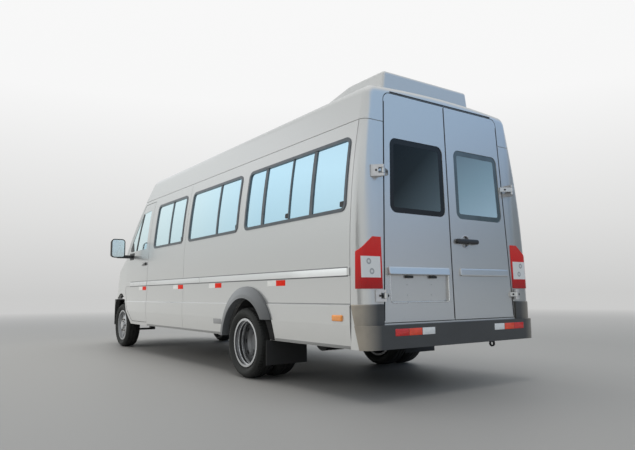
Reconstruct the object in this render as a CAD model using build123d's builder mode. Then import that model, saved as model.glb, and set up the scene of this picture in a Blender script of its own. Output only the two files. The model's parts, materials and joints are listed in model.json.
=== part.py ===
"""High-roof passenger van with a long wheelbase and twin rear wheels.

Millimetres.  X runs forward, Y to the left, Z up; the ground is Z = 0 and the
origin is the middle of the van's outline on the ground.
"""
from math import hypot, sqrt
import os

from build123d import *

os.makedirs("parts", exist_ok=True)

# Layout along the van
WHEELBASE = 4025.0
REAR_OVERHANG = 1660.0
FRONT_OVERHANG = 935.0
LENGTH = REAR_OVERHANG + WHEELBASE + FRONT_OVERHANG
RX = REAR_OVERHANG - LENGTH / 2
FX = RX + WHEELBASE
TYRE_R = 310.0
TYRE_W = 195.0

# Section of the body: half widths (y) and heights (z)
SILL_Y = 950.0
SILL_Z = 355.0
LOWER_Y = 966.0
LOWER_BEND_Z = 520.0
LEDGE_Z = 661.0
LEDGE_H = 9.0
BAND_Y = 957.0
MOULD_LOW_Z = 863.0
MOULD_HIGH_Z = 920.0
MOULD_OUT = 7.0
MOULD_SLOPE = 5.0
BELT_Z = 935.0
SEAM_Y = 852.0
SEAM_Z = 2005.0
CROWN_EDGE_Z = 2286.0
ROOF_Z = 2322.0
SHOULDER_R = 95.0
WALL = 55.0
HALF_BOX = 1300.0

# Shut lines along the side
DOOR_X = FX - 1321.0
PANEL_SEAM_X = RX + 1500.0
PILLAR_X = RX - 1513.0
SEAM_GAP = 4.0
GAP = 6.0
HINGE_GAP = 12.0

# Rear end
REAR_FACE_X = RX - 1605.0
REAR_LEAN = 50.0 / 1720.0
REAR_CORNER_R = 60.0
RDOOR_LOW_Z = 533.0
RDOOR_TOP_Z = 2240.0
RDOOR_LOW_Y = 728.0
RDOOR_TOP_Y = 650.0
RDOOR_CORNER_R = 60.0
RDOOR_T = 50.0
RDOOR_AXIS_X = RX - 1634.0
RDOOR_AXIS_Y = 738.0

# Windows: low and high edge, then the rear and front edge of each
WINDOW_LOW_Z = 1327.0
WINDOW_HIGH_Z = 1892.0
WINDOW_R = 62.0
FRAME_W = 26.0
FRAME_OUT = 6.0
FRAME_T = 24.0
GLASS_T = 6.0
SIDE_WINDOWS = {
    "front": (RX + 1581.0, RX + 2533.0),
    "middle": (RX + 224.0, RX + 1419.0),
    "rear": (RX - 1456.0, RX + 90.0),
}

# Rear wheel arch
ARCH_R = 405.0
FLARE_R = 505.0
FLARE_Y = 1012.0
HOUSE_T = 8.0
HOUSE_Y = 545.0

# Cab: sides bowed on a wide arc, raked screen, front of the roof
BOW_R = 14000.0
BOW_ARC = 9.5
CAB_LAP = 60.0
SCREEN_X = FX - 27.0
SCREEN_Z = 1300.0
SCREEN_TOP_X = FX - 706.0
SCREEN_R = 2000.0
CAP_FRONT_X = FX - 706.0
CAP_FRONT_RUN = 1.0
SCREEN_OPEN = ((826.0, 1348.0), (772.0, 1950.0))

# Front doors
FDOOR_FRONT_X = FX - 330.0
FDOOR_TOP_X = FX - 945.0
FDOOR_LOW_Z = 400.0
FDOOR_TOP_Z = 1962.0
FDOOR_AXIS_X = FDOOR_FRONT_X - 100.0
FDOOR_AXIS_LOW = (931.0, 560.0)
FDOOR_AXIS_HIGH = (901.0, 1400.0)
PIN_R = 6.0
PIN_CLEAR = 0.3

# Nose
NOSE_X = FX + 865.0
NOSE_Z = 690.0
NOSE_LEAN = 0.30
NOSE_R = 1450.0
NOSE_CORNER_R = 640.0
HOOD_X = FX - 35.0
HOOD_Z = 1292.0
HOOD_FALL = 0.41
HOOD_CROWN_R = 3500.0
SKIN_T = 40.0
BONNET_LIP_Z = 905.0
FARCH_R = 440.0
FARCH_Z = 330.0
BUMPER_TOP_Z = 684.0
BUMPER_LOW_Z = 300.0

# Floor
FLOOR_Z = 600.0
FLOOR_T = 40.0


def body_face(inset=0.0, trimmed=False):
    """Section of the body across the van, taken in by inset; trimmed adds the ledge and moulding."""
    foot_z = SILL_Z if inset == 0 else SILL_Z - 4 * abs(inset)
    if trimmed:
        low = [
            (SILL_Y, foot_z),
            (LOWER_Y, LOWER_BEND_Z),
            (LOWER_Y, LEDGE_Z - LEDGE_H),
            (BAND_Y, LEDGE_Z),
            (BAND_Y, MOULD_LOW_Z),
            (BAND_Y + MOULD_OUT, MOULD_LOW_Z + MOULD_SLOPE),
            (BAND_Y + MOULD_OUT, MOULD_HIGH_Z - MOULD_SLOPE),
            (BAND_Y, MOULD_HIGH_Z),
            (BAND_Y, BELT_Z),
        ]
    else:
        low = [(BAND_Y, foot_z), (BAND_Y, BELT_Z)]
    with BuildSketch() as face:
        with BuildLine():
            Polyline(*low)
            side = TangentArc((BAND_Y, BELT_Z), (SEAM_Y, SEAM_Z), tangent=(0, 1))
            lean = side % 1
            cap = Line(side @ 1, side @ 1 + lean * ((CROWN_EDGE_Z - SEAM_Z) / lean.Y))
            mirror(about=Plane.YZ)
            ThreePointArc(cap @ 1, (0, ROOF_Z), (-(cap @ 1).X, CROWN_EDGE_Z))
            Line((-low[0][0], foot_z), low[0])
        make_face()
        fillet(face.vertices().sort_by(Axis.Y)[-2:], SHOULDER_R)
        if inset:
            offset(amount=-inset, kind=Kind.INTERSECTION)
    return face.sketch


def side_prism(points, half=HALF_BOX, corner=0.0):
    """Block with an outline in side view (x, z), reaching out to both sides."""
    with BuildPart() as block:
        with BuildSketch(Plane.XZ) as outline:
            with BuildLine():
                Polyline(*points, close=True)
            make_face()
            if corner:
                fillet(outline.vertices(), corner)
        extrude(amount=half, both=True)
    return block.part


def front_prism(points, x_low, x_high, corner=0.0):
    """Block with an outline in front view (y, z), between two stations."""
    with BuildPart() as block:
        with BuildSketch(Plane.YZ.offset(x_low)) as outline:
            with BuildLine():
                Polyline(*points, close=True)
            make_face()
            if corner:
                fillet(outline.vertices(), corner)
        extrude(amount=x_high - x_low)
    return block.part


def plan_prism(points, z_low, z_high, corner=0.0):
    """Block with an outline in plan (x, y), between two heights."""
    with BuildPart() as block:
        with BuildSketch(Plane.XY.offset(z_low)) as outline:
            with BuildLine():
                Polyline(*points, close=True)
            make_face()
            if corner:
                fillet(outline.vertices(), corner)
        extrude(amount=z_high - z_low)
    return block.part


def box(x_low, x_high, y_low, y_high, z_low, z_high):
    """Plain block between two corners."""
    return plan_prism([(x_low, y_low), (x_high, y_low), (x_high, y_high), (x_low, y_high)], z_low, z_high)


def rear_x(z, inset=0.0):
    """Station of the rear face at a height."""
    return REAR_FACE_X + (z - RDOOR_LOW_Z) * REAR_LEAN + inset


def side_wall(x_rear, x_front, z_low=SILL_Z, z_high=SEAM_Z):
    """Left wall of the straight body between two stations."""
    with BuildPart() as wall:
        with BuildSketch(Plane.YZ.offset(x_rear)):
            add(body_face(trimmed=True))
            add(body_face(WALL), mode=Mode.SUBTRACT)
            with Locations((HALF_BOX / 2, (z_low + z_high) / 2)):
                Rectangle(HALF_BOX, z_high - z_low, mode=Mode.INTERSECT)
        extrude(amount=x_front - x_rear)
    return wall.part


def window_prism(name, grow=0.0):
    """Block through one side window's opening."""
    x_rear, x_front = SIDE_WINDOWS[name]
    points = [
        (x_rear - grow, WINDOW_LOW_Z - grow),
        (x_front + grow, WINDOW_LOW_Z - grow),
        (x_front + grow, WINDOW_HIGH_Z + grow),
        (x_rear - grow, WINDOW_HIGH_Z + grow),
    ]
    return side_prism(points, corner=WINDOW_R + grow)


def layer(x_rear, x_front, outer, inner):
    """Left layer of the straight body between two depths below the skin."""
    with BuildPart() as slab:
        with BuildSketch(Plane.YZ.offset(x_rear)):
            add(body_face(outer))
            add(body_face(inner), mode=Mode.SUBTRACT)
            with Locations((HALF_BOX / 2, (WINDOW_LOW_Z + WINDOW_HIGH_Z) / 2)):
                Rectangle(HALF_BOX, WINDOW_HIGH_Z - WINDOW_LOW_Z + 100, mode=Mode.INTERSECT)
        extrude(amount=x_front - x_rear)
    return slab.part


def shell(inset=0.0):
    """Straight body as a block, leaning rear face with rounded corners, taken in by inset."""
    with BuildPart() as block:
        with BuildSketch(Plane.YZ.offset(rear_x(SILL_Z) - 50)):
            add(body_face(inset))
        extrude(amount=DOOR_X + 700 - rear_x(SILL_Z) + 50)
        low = SILL_Z - 400
        high = ROOF_Z + 100
        add(
            side_prism(
                [
                    (rear_x(low, inset), low),
                    (DOOR_X + 800, low),
                    (DOOR_X + 800, high),
                    (rear_x(high, inset), high),
                ]
            ),
            mode=Mode.INTERSECT,
        )
        rear_face = block.faces().sort_by(Axis.X)[0]
        fillet(rear_face.edges().sort_by(Axis.Z)[1:], REAR_CORNER_R - inset * 0.9)
    return block.part


def rear_door_outline(grow=0.0, side=1):
    """Outline of one rear door in rear view (y, z)."""
    return [
        (side * (GAP / 2 - grow), RDOOR_LOW_Z - grow),
        (side * (RDOOR_LOW_Y + grow), RDOOR_LOW_Z - grow),
        (side * (RDOOR_TOP_Y + grow), RDOOR_TOP_Z + grow),
        (side * (GAP / 2 - grow), RDOOR_TOP_Z + grow),
    ]


def cab_block(inset=0.0, trimmed=False):
    """Cab as a block from the doors' rear edge forward, its sides bowed inward."""
    with BuildPart() as cab:
        with BuildSketch(Plane.YZ.offset(DOOR_X)):
            add(body_face(inset, trimmed))
            with Locations((HALF_BOX / 2 - CAB_LAP, 1200)):
                Rectangle(HALF_BOX, 2800, mode=Mode.INTERSECT)
        revolve(axis=Axis((DOOR_X, -BOW_R, 0), (0, 0, -1)), revolution_arc=BOW_ARC)
        mirror(about=Plane.XZ)
    return cab.part


def curved_front(x_front, radius, z_low, z_high, run, x_back):
    """Block whose front is an arc in plan, sheared back by run for each unit of height."""
    with BuildPart() as block:
        with BuildSketch(Plane.XY.offset(z_low)):
            with BuildLine():
                edge_y = HALF_BOX
                edge_x = x_front - radius + sqrt(radius ** 2 - edge_y ** 2)
                ThreePointArc((edge_x, -edge_y), (x_front, 0), (edge_x, edge_y))
                Polyline((edge_x, edge_y), (x_back, edge_y), (x_back, -edge_y), (edge_x, -edge_y))
            make_face()
        rise = z_high - z_low
        extrude(amount=rise * hypot(1, run), dir=(-run, 0, 1))
    return block.part


SCREEN_RUN = (SCREEN_X - SCREEN_TOP_X) / (SEAM_Z - SCREEN_Z)


def screen_block(inset=0.0):
    """Everything behind the windscreen's face, taken in by inset."""
    z_low = SCREEN_Z - 200
    x_front = SCREEN_X + SCREEN_RUN * 200 - inset * hypot(1, SCREEN_RUN)
    return curved_front(x_front, SCREEN_R, z_low, SEAM_Z + 100, SCREEN_RUN, DOOR_X - 200)


def cap_block(inset=0.0):
    """Everything behind the front of the roof, taken in by inset."""
    z_low = SEAM_Z - 100
    x_front = CAP_FRONT_X + CAP_FRONT_RUN * 100 - inset * hypot(1, CAP_FRONT_RUN)
    return curved_front(x_front, SCREEN_R, z_low, ROOF_Z + 200, CAP_FRONT_RUN, REAR_FACE_X - 300)


def nose_plan(x_front, inset=0.0):
    """Outline of the nose in plan with rounded corners."""
    slope = (FX + 275 - DOOR_X) / (BOW_R + BAND_Y)
    tangent_x = FX + 275
    tangent_y = LOWER_Y - (tangent_x - DOOR_X) ** 2 / (2 * (BOW_R + BAND_Y))
    back_x = DOOR_X - 300
    back_y = tangent_y + slope * (tangent_x - back_x)
    side_x = x_front - 150
    side_y = tangent_y - slope * (side_x - tangent_x)
    edge_x = x_front - NOSE_R + sqrt(NOSE_R ** 2 - side_y ** 2)
    edge_y = tangent_y - slope * (edge_x - tangent_x)
    edge_x = x_front - NOSE_R + sqrt(NOSE_R ** 2 - edge_y ** 2)
    with BuildSketch() as plan:
        with BuildLine():
            ThreePointArc((edge_x, -edge_y), (x_front, 0), (edge_x, edge_y))
            Polyline((edge_x, edge_y), (back_x, back_y), (back_x, -back_y), (edge_x, -edge_y))
        make_face()
        fillet(plan.vertices().sort_by(Axis.X)[-2:], NOSE_CORNER_R)
        if inset:
            offset(amount=-inset, kind=Kind.INTERSECTION)
    return plan.sketch


def nose_block(inset=0.0, trimmed=False):
    """Cab and nose below the screen: bowed sides, leaning rounded front, falling crowned top."""
    z_low = 200.0
    z_high = 1420.0
    hood_x = DOOR_X - 20.0
    hood_top = HOOD_Z + HOOD_FALL * (HOOD_X - hood_x) - inset * hypot(1, HOOD_FALL)
    hood_drop = HOOD_CROWN_R - sqrt(HOOD_CROWN_R ** 2 - HALF_BOX ** 2)
    with BuildPart() as nose:
        with BuildSketch(Plane.XY.offset(z_low)):
            add(nose_plan(NOSE_X + NOSE_LEAN * (NOSE_Z - z_low), inset))
        extrude(amount=(z_high - z_low) * hypot(1, NOSE_LEAN), dir=(-NOSE_LEAN, 0, 1))
        add(cab_block(inset, trimmed), mode=Mode.INTERSECT)
        with BuildSketch(Plane.YZ.offset(hood_x)):
            with BuildLine():
                side_z = hood_top - hood_drop
                ThreePointArc((-HALF_BOX, side_z), (0, hood_top), (HALF_BOX, side_z))
                Polyline((HALF_BOX, side_z), (HALF_BOX, -600), (-HALF_BOX, -600), (-HALF_BOX, side_z))
            make_face()
        extrude(amount=2700 * hypot(1, HOOD_FALL), dir=(1, 0, -HOOD_FALL), mode=Mode.INTERSECT)
    return nose.part


def front_door_outline(grow=0.0, front_grow=0.0):
    """Outline of a front door in side view (x, z)."""
    return [
        (DOOR_X + GAP - 9 * grow, FDOOR_LOW_Z - grow),
        (FX - 695 + front_grow, FDOOR_LOW_Z - grow),
        (FX - 465 + front_grow, FDOOR_LOW_Z + 140 - grow),
        (FX - 385 + front_grow, FDOOR_LOW_Z + 240 - grow),
        (FDOOR_FRONT_X + front_grow, FDOOR_LOW_Z + 400 - grow),
        (FDOOR_FRONT_X + front_grow, SCREEN_Z),
        (FDOOR_TOP_X + front_grow, FDOOR_TOP_Z + grow),
        (DOOR_X + GAP - 9 * grow, FDOOR_TOP_Z + grow),
    ]


def axis_pin(low, high, radius):
    """Round pin on the left front door's hinge line between two heights."""
    y_low, z_low = FDOOR_AXIS_LOW
    y_high, z_high = FDOOR_AXIS_HIGH
    slope = (y_high - y_low) / (z_high - z_low)
    foot = (FDOOR_AXIS_X, y_low + slope * (low - z_low), low)
    return Solid.make_cylinder(radius, (high - low) * hypot(1, slope), Plane(foot, z_dir=(0, slope, 1)))


# Wheel-arch blocks
with BuildPart() as rear_arch:
    with BuildSketch(Plane.XZ):
        with Locations((RX, TYRE_R)):
            Circle(ARCH_R)
    extrude(amount=HALF_BOX, both=True)

with BuildPart() as front_arch:
    with BuildSketch(Plane.XZ):
        with Locations((FX, FARCH_Z)):
            Circle(FARCH_R)
        with BuildLine():
            Polyline(
                (FX, FARCH_Z),
                (FX - 255, 655),
                (FX - 395, 520),
                (FX - 640, 345),
                (FX - 640, 150),
                (FX + 425, 150),
                (FX + 425, FARCH_Z),
                close=True,
            )
        make_face()
    extrude(amount=HALF_BOX, both=True)

# Side walls
with BuildPart() as left_panel_rear:
    add(side_wall(PILLAR_X + SEAM_GAP, PANEL_SEAM_X - SEAM_GAP / 2))
    for name in ("middle", "rear"):
        add(window_prism(name), mode=Mode.SUBTRACT)
    add(rear_arch.part, mode=Mode.SUBTRACT)
left_panel_rear.part.label = "left_panel_rear"
export_step(left_panel_rear.part, "parts/left_panel_rear.step")

with BuildPart() as left_panel_front:
    add(side_wall(PANEL_SEAM_X + SEAM_GAP / 2, DOOR_X))
    add(window_prism("front"), mode=Mode.SUBTRACT)
left_panel_front.part.label = "left_panel_front"
export_step(left_panel_front.part, "parts/left_panel_front.step")

with BuildPart() as right_panel_rear:
    add(mirror(left_panel_rear.part, about=Plane.XZ, mode=Mode.PRIVATE))
right_panel_rear.part.label = "right_panel_rear"
export_step(right_panel_rear.part, "parts/right_panel_rear.step")

with BuildPart() as sliding_door:
    add(mirror(left_panel_front.part, about=Plane.XZ, mode=Mode.PRIVATE))
sliding_door.part.label = "sliding_door"
export_step(sliding_door.part, "parts/sliding_door.step")

# Side window frames with their upright bars, and the panes
WINDOW_BARS = [
    ("front", RX + 2014.0, 26.0),
    ("middle", RX + 693.0, 26.0),
    ("rear", RX - 241.0, 40.0),
    ("rear", RX - 680.0, 16.0),
    ("rear", RX - 1005.0, 40.0),
]
GLASS_DEPTH = 6.0
with BuildPart() as window_frames:
    for name, (x_rear, x_front) in SIDE_WINDOWS.items():
        with BuildPart(mode=Mode.PRIVATE) as ring:
            add(layer(x_rear - 20, x_front + 20, -FRAME_OUT, FRAME_T - FRAME_OUT))
            add(window_prism(name), mode=Mode.INTERSECT)
            add(window_prism(name, -FRAME_W), mode=Mode.SUBTRACT)
            for owner, bar_x, bar_w in WINDOW_BARS:
                if owner == name:
                    with BuildPart(mode=Mode.PRIVATE) as bar:
                        add(layer(bar_x - bar_w / 2, bar_x + bar_w / 2, -2, GLASS_DEPTH))
                        add(window_prism(name, -FRAME_W), mode=Mode.INTERSECT)
                    add(bar.part)
        add(ring.part)
    mirror(about=Plane.XZ)
window_frames.part.label = "window_frames"
export_step(window_frames.part, "parts/window_frames.step")

with BuildPart() as side_glass:
    for name, (x_rear, x_front) in SIDE_WINDOWS.items():
        with BuildPart(mode=Mode.PRIVATE) as pane:
            add(layer(x_rear, x_front, GLASS_DEPTH, GLASS_DEPTH + GLASS_T))
            add(window_prism(name, -FRAME_W), mode=Mode.INTERSECT)
        add(pane.part)
    mirror(about=Plane.XZ)
side_glass.part.label = "side_glass"
export_step(side_glass.part, "parts/side_glass.step")

# Rear end: corner pillars on a sill, lamps let into them
outer_shell = shell(0)
inner_shell = shell(WALL)
LAMP_OUT = 6.0
LAMP_DEPTH = 30.0
LAMP_SIDE = 40.0
LAMP_OUTLINE = [(737, 771), (1000, 771), (1000, 985), (945, 1035), (815, 1140), (737, 1140)]
with BuildPart() as tail_lamps:
    add(shell(-LAMP_OUT))
    add(shell(LAMP_DEPTH), mode=Mode.SUBTRACT)
    add(front_prism(LAMP_OUTLINE, REAR_FACE_X - 60, REAR_FACE_X + LAMP_SIDE), mode=Mode.INTERSECT)
    mirror(about=Plane.XZ)
tail_lamps.part.label = "tail_lamps"
export_step(tail_lamps.part, "parts/tail_lamps.step")

with BuildPart() as rear_opening:
    for side in (1, -1):
        add(front_prism(rear_door_outline(GAP, side), REAR_FACE_X - 200, REAR_FACE_X + 400))
    fillet(rear_opening.edges().filter_by(Axis.X).sort_by(Axis.Z)[-2:], RDOOR_CORNER_R + GAP)

with BuildPart() as rear_frame:
    add(outer_shell)
    add(box(REAR_FACE_X - 100, PILLAR_X, -HALF_BOX, HALF_BOX, SILL_Z, SEAM_Z), mode=Mode.INTERSECT)
    add(inner_shell, mode=Mode.SUBTRACT)
    add(rear_opening.part, mode=Mode.SUBTRACT)
    add(tail_lamps.part, mode=Mode.SUBTRACT)
rear_frame.part.label = "rear_frame"
export_step(rear_frame.part, "parts/rear_frame.step")

# High roof with its sloping front, open above the rear doors
GUTTER_H = 6.0
GUTTER_T = 12.0
with BuildPart() as roof_inside:
    add(inner_shell)
    add(cap_block(WALL), mode=Mode.INTERSECT)
with BuildPart() as gutter:
    add(outer_shell)
    add(cap_block(), mode=Mode.INTERSECT)
    with BuildPart(mode=Mode.PRIVATE) as gutter_core:
        add(shell(GUTTER_T))
        add(cap_block(GUTTER_T), mode=Mode.INTERSECT)
    add(gutter_core.part, mode=Mode.SUBTRACT)
    low = SEAM_Z - 20
    add(box(REAR_FACE_X, FX, -HALF_BOX, HALF_BOX, low, SEAM_Z + GUTTER_H), mode=Mode.INTERSECT)
with BuildPart() as roof:
    add(outer_shell)
    add(cap_block(), mode=Mode.INTERSECT)
    add(box(REAR_FACE_X - 100, FX, -HALF_BOX, HALF_BOX, SEAM_Z, ROOF_Z + 50), mode=Mode.INTERSECT)
    add(roof_inside.part, mode=Mode.SUBTRACT)
    add(rear_opening.part, mode=Mode.SUBTRACT)
    add(gutter.part, mode=Mode.SUBTRACT)
roof.part.label = "roof"
export_step(roof.part, "parts/roof.step")

# Fairing on the roof: flat top, straight ramp forward from a rounded knee
FAIRING_REAR_X = RX - 1387.0
FAIRING_TOP_Z = 2508.0
FAIRING_KNEE_X = RX - 940.0
FAIRING_FOOT_X = RX - 380.0
FAIRING_FOOT_Z = ROOF_Z + 58.0
FAIRING_TOE_X = RX + 30.0
FAIRING_KNEE_R = 300.0
FAIRING_FOOT_R = 1200.0
FAIRING_TOP_Y = 486.0
FAIRING_LOW_Y = 514.0
FAIRING_EDGE_R = 28.0
with BuildPart() as fairing:
    with BuildSketch(Plane.XZ) as fairing_side:
        with BuildLine():
            Polyline(
                (FAIRING_TOE_X, ROOF_Z - 8),
                (FAIRING_TOE_X, ROOF_Z - 200),
                (FAIRING_REAR_X - 6, ROOF_Z - 200),
                (FAIRING_REAR_X, FAIRING_TOP_Z),
                (FAIRING_KNEE_X, FAIRING_TOP_Z),
                (FAIRING_FOOT_X, FAIRING_FOOT_Z),
                close=True,
            )
        make_face()
        corners = fairing_side.vertices()
        fillet(corners.sort_by_distance((FAIRING_KNEE_X, FAIRING_TOP_Z, 0))[0], FAIRING_KNEE_R)
        corners = fairing_side.vertices()
        fillet(corners.sort_by_distance((FAIRING_FOOT_X, FAIRING_FOOT_Z, 0))[0], FAIRING_FOOT_R)
    extrude(amount=HALF_BOX, both=True)
    spread = (FAIRING_LOW_Y - FAIRING_TOP_Y) / (FAIRING_TOP_Z - ROOF_Z)
    foot_y = FAIRING_LOW_Y + spread * 250
    peak_y = FAIRING_TOP_Y - spread * 40
    add(
        front_prism(
            [
                (-foot_y, ROOF_Z - 250),
                (foot_y, ROOF_Z - 250),
                (peak_y, FAIRING_TOP_Z + 40),
                (-peak_y, FAIRING_TOP_Z + 40),
            ],
            FAIRING_REAR_X - 100,
            FAIRING_TOE_X + 100,
        ),
        mode=Mode.INTERSECT,
    )
    rear_rim = fairing.faces().sort_by(Axis.X)[0].edges().sort_by(Axis.Z)[1:]
    side_faces = fairing.faces().sort_by(Axis.Y)
    top_rims = [
        edge
        for face in (side_faces[0], side_faces[-1])
        for edge in face.edges()
        if edge.center().Z > ROOF_Z and edge.length > 30 and abs(edge.tangent_at(0.5).X) > 0.5
    ]
    fillet(rear_rim + top_rims, FAIRING_EDGE_R)
    add(outer_shell, mode=Mode.SUBTRACT)
fairing.part.label = "roof_fairing"
export_step(fairing.part, "parts/roof_fairing.step")

# Rear doors: leaning plates with a window, plate recess on the left, lever on the right
RWINDOW_LOW_Z = 1328.0
RWINDOW_HIGH_Z = 1897.0
RWINDOW_MARGINS = {1: (46.0, 60.0), -1: (86.0, 40.0)}
RWINDOW_R = 60.0
PLATE_Y = 354.0
PLATE_Z = 797.0
PLATE_W = 599.0
PLATE_H = 242.0
PLATE_FLOOR_X = REAR_FACE_X + 24.0
PLATE_HOLE_R = 3.2
PLATE_HOLE_DY = 254.0
PLATE_HOLE_DZ = 76.0
PLATE_HOLE_Z = 762.0
HINGES = [722.0, 1618.0]
HINGE_H = 84.0
KNUCKLE_H = 36.0
KNUCKLE_R = 14.0
ARM_REACH = 34.0


def rear_door_edge(z):
    """Half width of a rear door at a height."""
    part_up = (z - RDOOR_LOW_Z) / (RDOOR_TOP_Z - RDOOR_LOW_Z)
    return RDOOR_LOW_Y + (RDOOR_TOP_Y - RDOOR_LOW_Y) * part_up


def rear_slab(depth_out, depth_in):
    """Leaning slab between two depths in front of the rear face."""
    low = SILL_Z
    high = ROOF_Z
    return side_prism(
        [
            (rear_x(low, depth_out), low),
            (rear_x(low, depth_in), low),
            (rear_x(high, depth_in), high),
            (rear_x(high, depth_out), high),
        ]
    )


def rear_window(side):
    """Block through one rear door's window."""
    inner, outer = RWINDOW_MARGINS[side]
    points = [
        (side * inner, RWINDOW_LOW_Z),
        (side * (rear_door_edge(RWINDOW_LOW_Z) - outer), RWINDOW_LOW_Z),
        (side * (rear_door_edge(RWINDOW_HIGH_Z) - outer), RWINDOW_HIGH_Z),
        (side * inner, RWINDOW_HIGH_Z),
    ]
    return front_prism(points, REAR_FACE_X - 100, REAR_FACE_X + 300, RWINDOW_R)


def hinge_arm(z, side):
    """Arm from a rear door's skin out to the hinge line, bored for the pin."""
    skin_x = rear_x(z)
    edge_y = rear_door_edge(z)
    with BuildPart() as arm:
        with BuildSketch(Plane.XY.offset(z - KNUCKLE_H / 2)):
            with Locations((RDOOR_AXIS_X, side * RDOOR_AXIS_Y)):
                Circle(KNUCKLE_R)
            with BuildLine():
                Polyline(
                    (RDOOR_AXIS_X - KNUCKLE_R, side * RDOOR_AXIS_Y),
                    (RDOOR_AXIS_X, side * (RDOOR_AXIS_Y + KNUCKLE_R)),
                    (skin_x - 12, side * (edge_y - 4)),
                    (skin_x + 4, side * (edge_y - 6)),
                    (skin_x + 4, side * (edge_y - ARM_REACH)),
                    (skin_x - 12, side * (edge_y - ARM_REACH)),
                    close=True,
                )
            make_face()
            with Locations((RDOOR_AXIS_X, side * RDOOR_AXIS_Y)):
                Circle(PIN_R + PIN_CLEAR, mode=Mode.SUBTRACT)
        extrude(amount=KNUCKLE_H)
    return arm.part


def rear_door(side):
    """One rear door without its fittings."""
    with BuildPart() as door:
        add(front_prism(rear_door_outline(0, side), REAR_FACE_X - 200, REAR_FACE_X + 400))
        top_edges = door.edges().filter_by(Axis.X).sort_by(Axis.Z)[2:]
        fillet(top_edges.sort_by(Axis.Y)[-1 if side > 0 else 0], RDOOR_CORNER_R)
        add(rear_slab(0, RDOOR_T), mode=Mode.INTERSECT)
        add(rear_window(side), mode=Mode.SUBTRACT)
        for z in HINGES:
            add(hinge_arm(z, side))
    return door.part


with BuildPart() as rear_door_left:
    add(rear_door(1))
    plate_points = [
        (PLATE_Y - PLATE_W / 2, PLATE_Z - PLATE_H / 2),
        (PLATE_Y + PLATE_W / 2, PLATE_Z - PLATE_H / 2),
        (PLATE_Y + PLATE_W / 2, PLATE_Z + PLATE_H / 2),
        (PLATE_Y - PLATE_W / 2, PLATE_Z + PLATE_H / 2),
    ]
    add(front_prism(plate_points, REAR_FACE_X - 60, PLATE_FLOOR_X, 14), mode=Mode.SUBTRACT)
    with BuildSketch(Plane.YZ.offset(PLATE_FLOOR_X)):
        with Locations((PLATE_Y, PLATE_HOLE_Z)):
            with GridLocations(PLATE_HOLE_DY, PLATE_HOLE_DZ, 2, 2):
                Circle(PLATE_HOLE_R)
    extrude(amount=18, mode=Mode.SUBTRACT)
    lamp_bar_z = PLATE_Z + PLATE_H / 2
    add(
        box(
            REAR_FACE_X - 12,
            PLATE_FLOOR_X,
            PLATE_Y - PLATE_W / 2 + 20,
            PLATE_Y + PLATE_W / 2 - 20,
            lamp_bar_z - 26,
            lamp_bar_z + 8,
        )
    )
rear_door_left.part.label = "rear_door_left"
export_step(rear_door_left.part, "parts/rear_door_left.step")

LEVER_Y = (-303.0, -57.0)
LEVER_Z = 1146.0
BAR_Y = (-676.0, -86.0)
BAR_Z = (886.0, 930.0)
with BuildPart() as rear_door_right:
    add(rear_door(-1))
    add(box(rear_x(BAR_Z[0]) - 8, rear_x(BAR_Z[0]) + 10, BAR_Y[0], BAR_Y[1], BAR_Z[0], BAR_Z[1]))
    with BuildSketch(Plane.YZ.offset(rear_x(LEVER_Z) - 40)):
        with Locations((-170, LEVER_Z)):
            Circle(44)
    extrude(amount=40 + 14, mode=Mode.SUBTRACT)
    add(box(rear_x(LEVER_Z) - 22, rear_x(LEVER_Z) - 6, LEVER_Y[0], LEVER_Y[1], LEVER_Z - 14, LEVER_Z + 14))
    for foot_y in (LEVER_Y[0] + 30, LEVER_Y[1] - 24):
        foot_x = rear_x(LEVER_Z)
        add(box(foot_x - 10, foot_x + 8, foot_y - 18, foot_y + 18, LEVER_Z - 12, LEVER_Z + 12))
rear_door_right.part.label = "rear_door_right"
export_step(rear_door_right.part, "parts/rear_door_right.step")

with BuildPart() as rear_glass_left:
    add(rear_slab(GLASS_DEPTH, GLASS_DEPTH + GLASS_T))
    add(rear_window(1), mode=Mode.INTERSECT)
rear_glass_left.part.label = "rear_glass_left"
export_step(rear_glass_left.part, "parts/rear_glass_left.step")

with BuildPart() as rear_glass_right:
    add(rear_slab(GLASS_DEPTH, GLASS_DEPTH + GLASS_T))
    add(rear_window(-1), mode=Mode.INTERSECT)
rear_glass_right.part.label = "rear_glass_right"
export_step(rear_glass_right.part, "parts/rear_glass_right.step")

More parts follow.
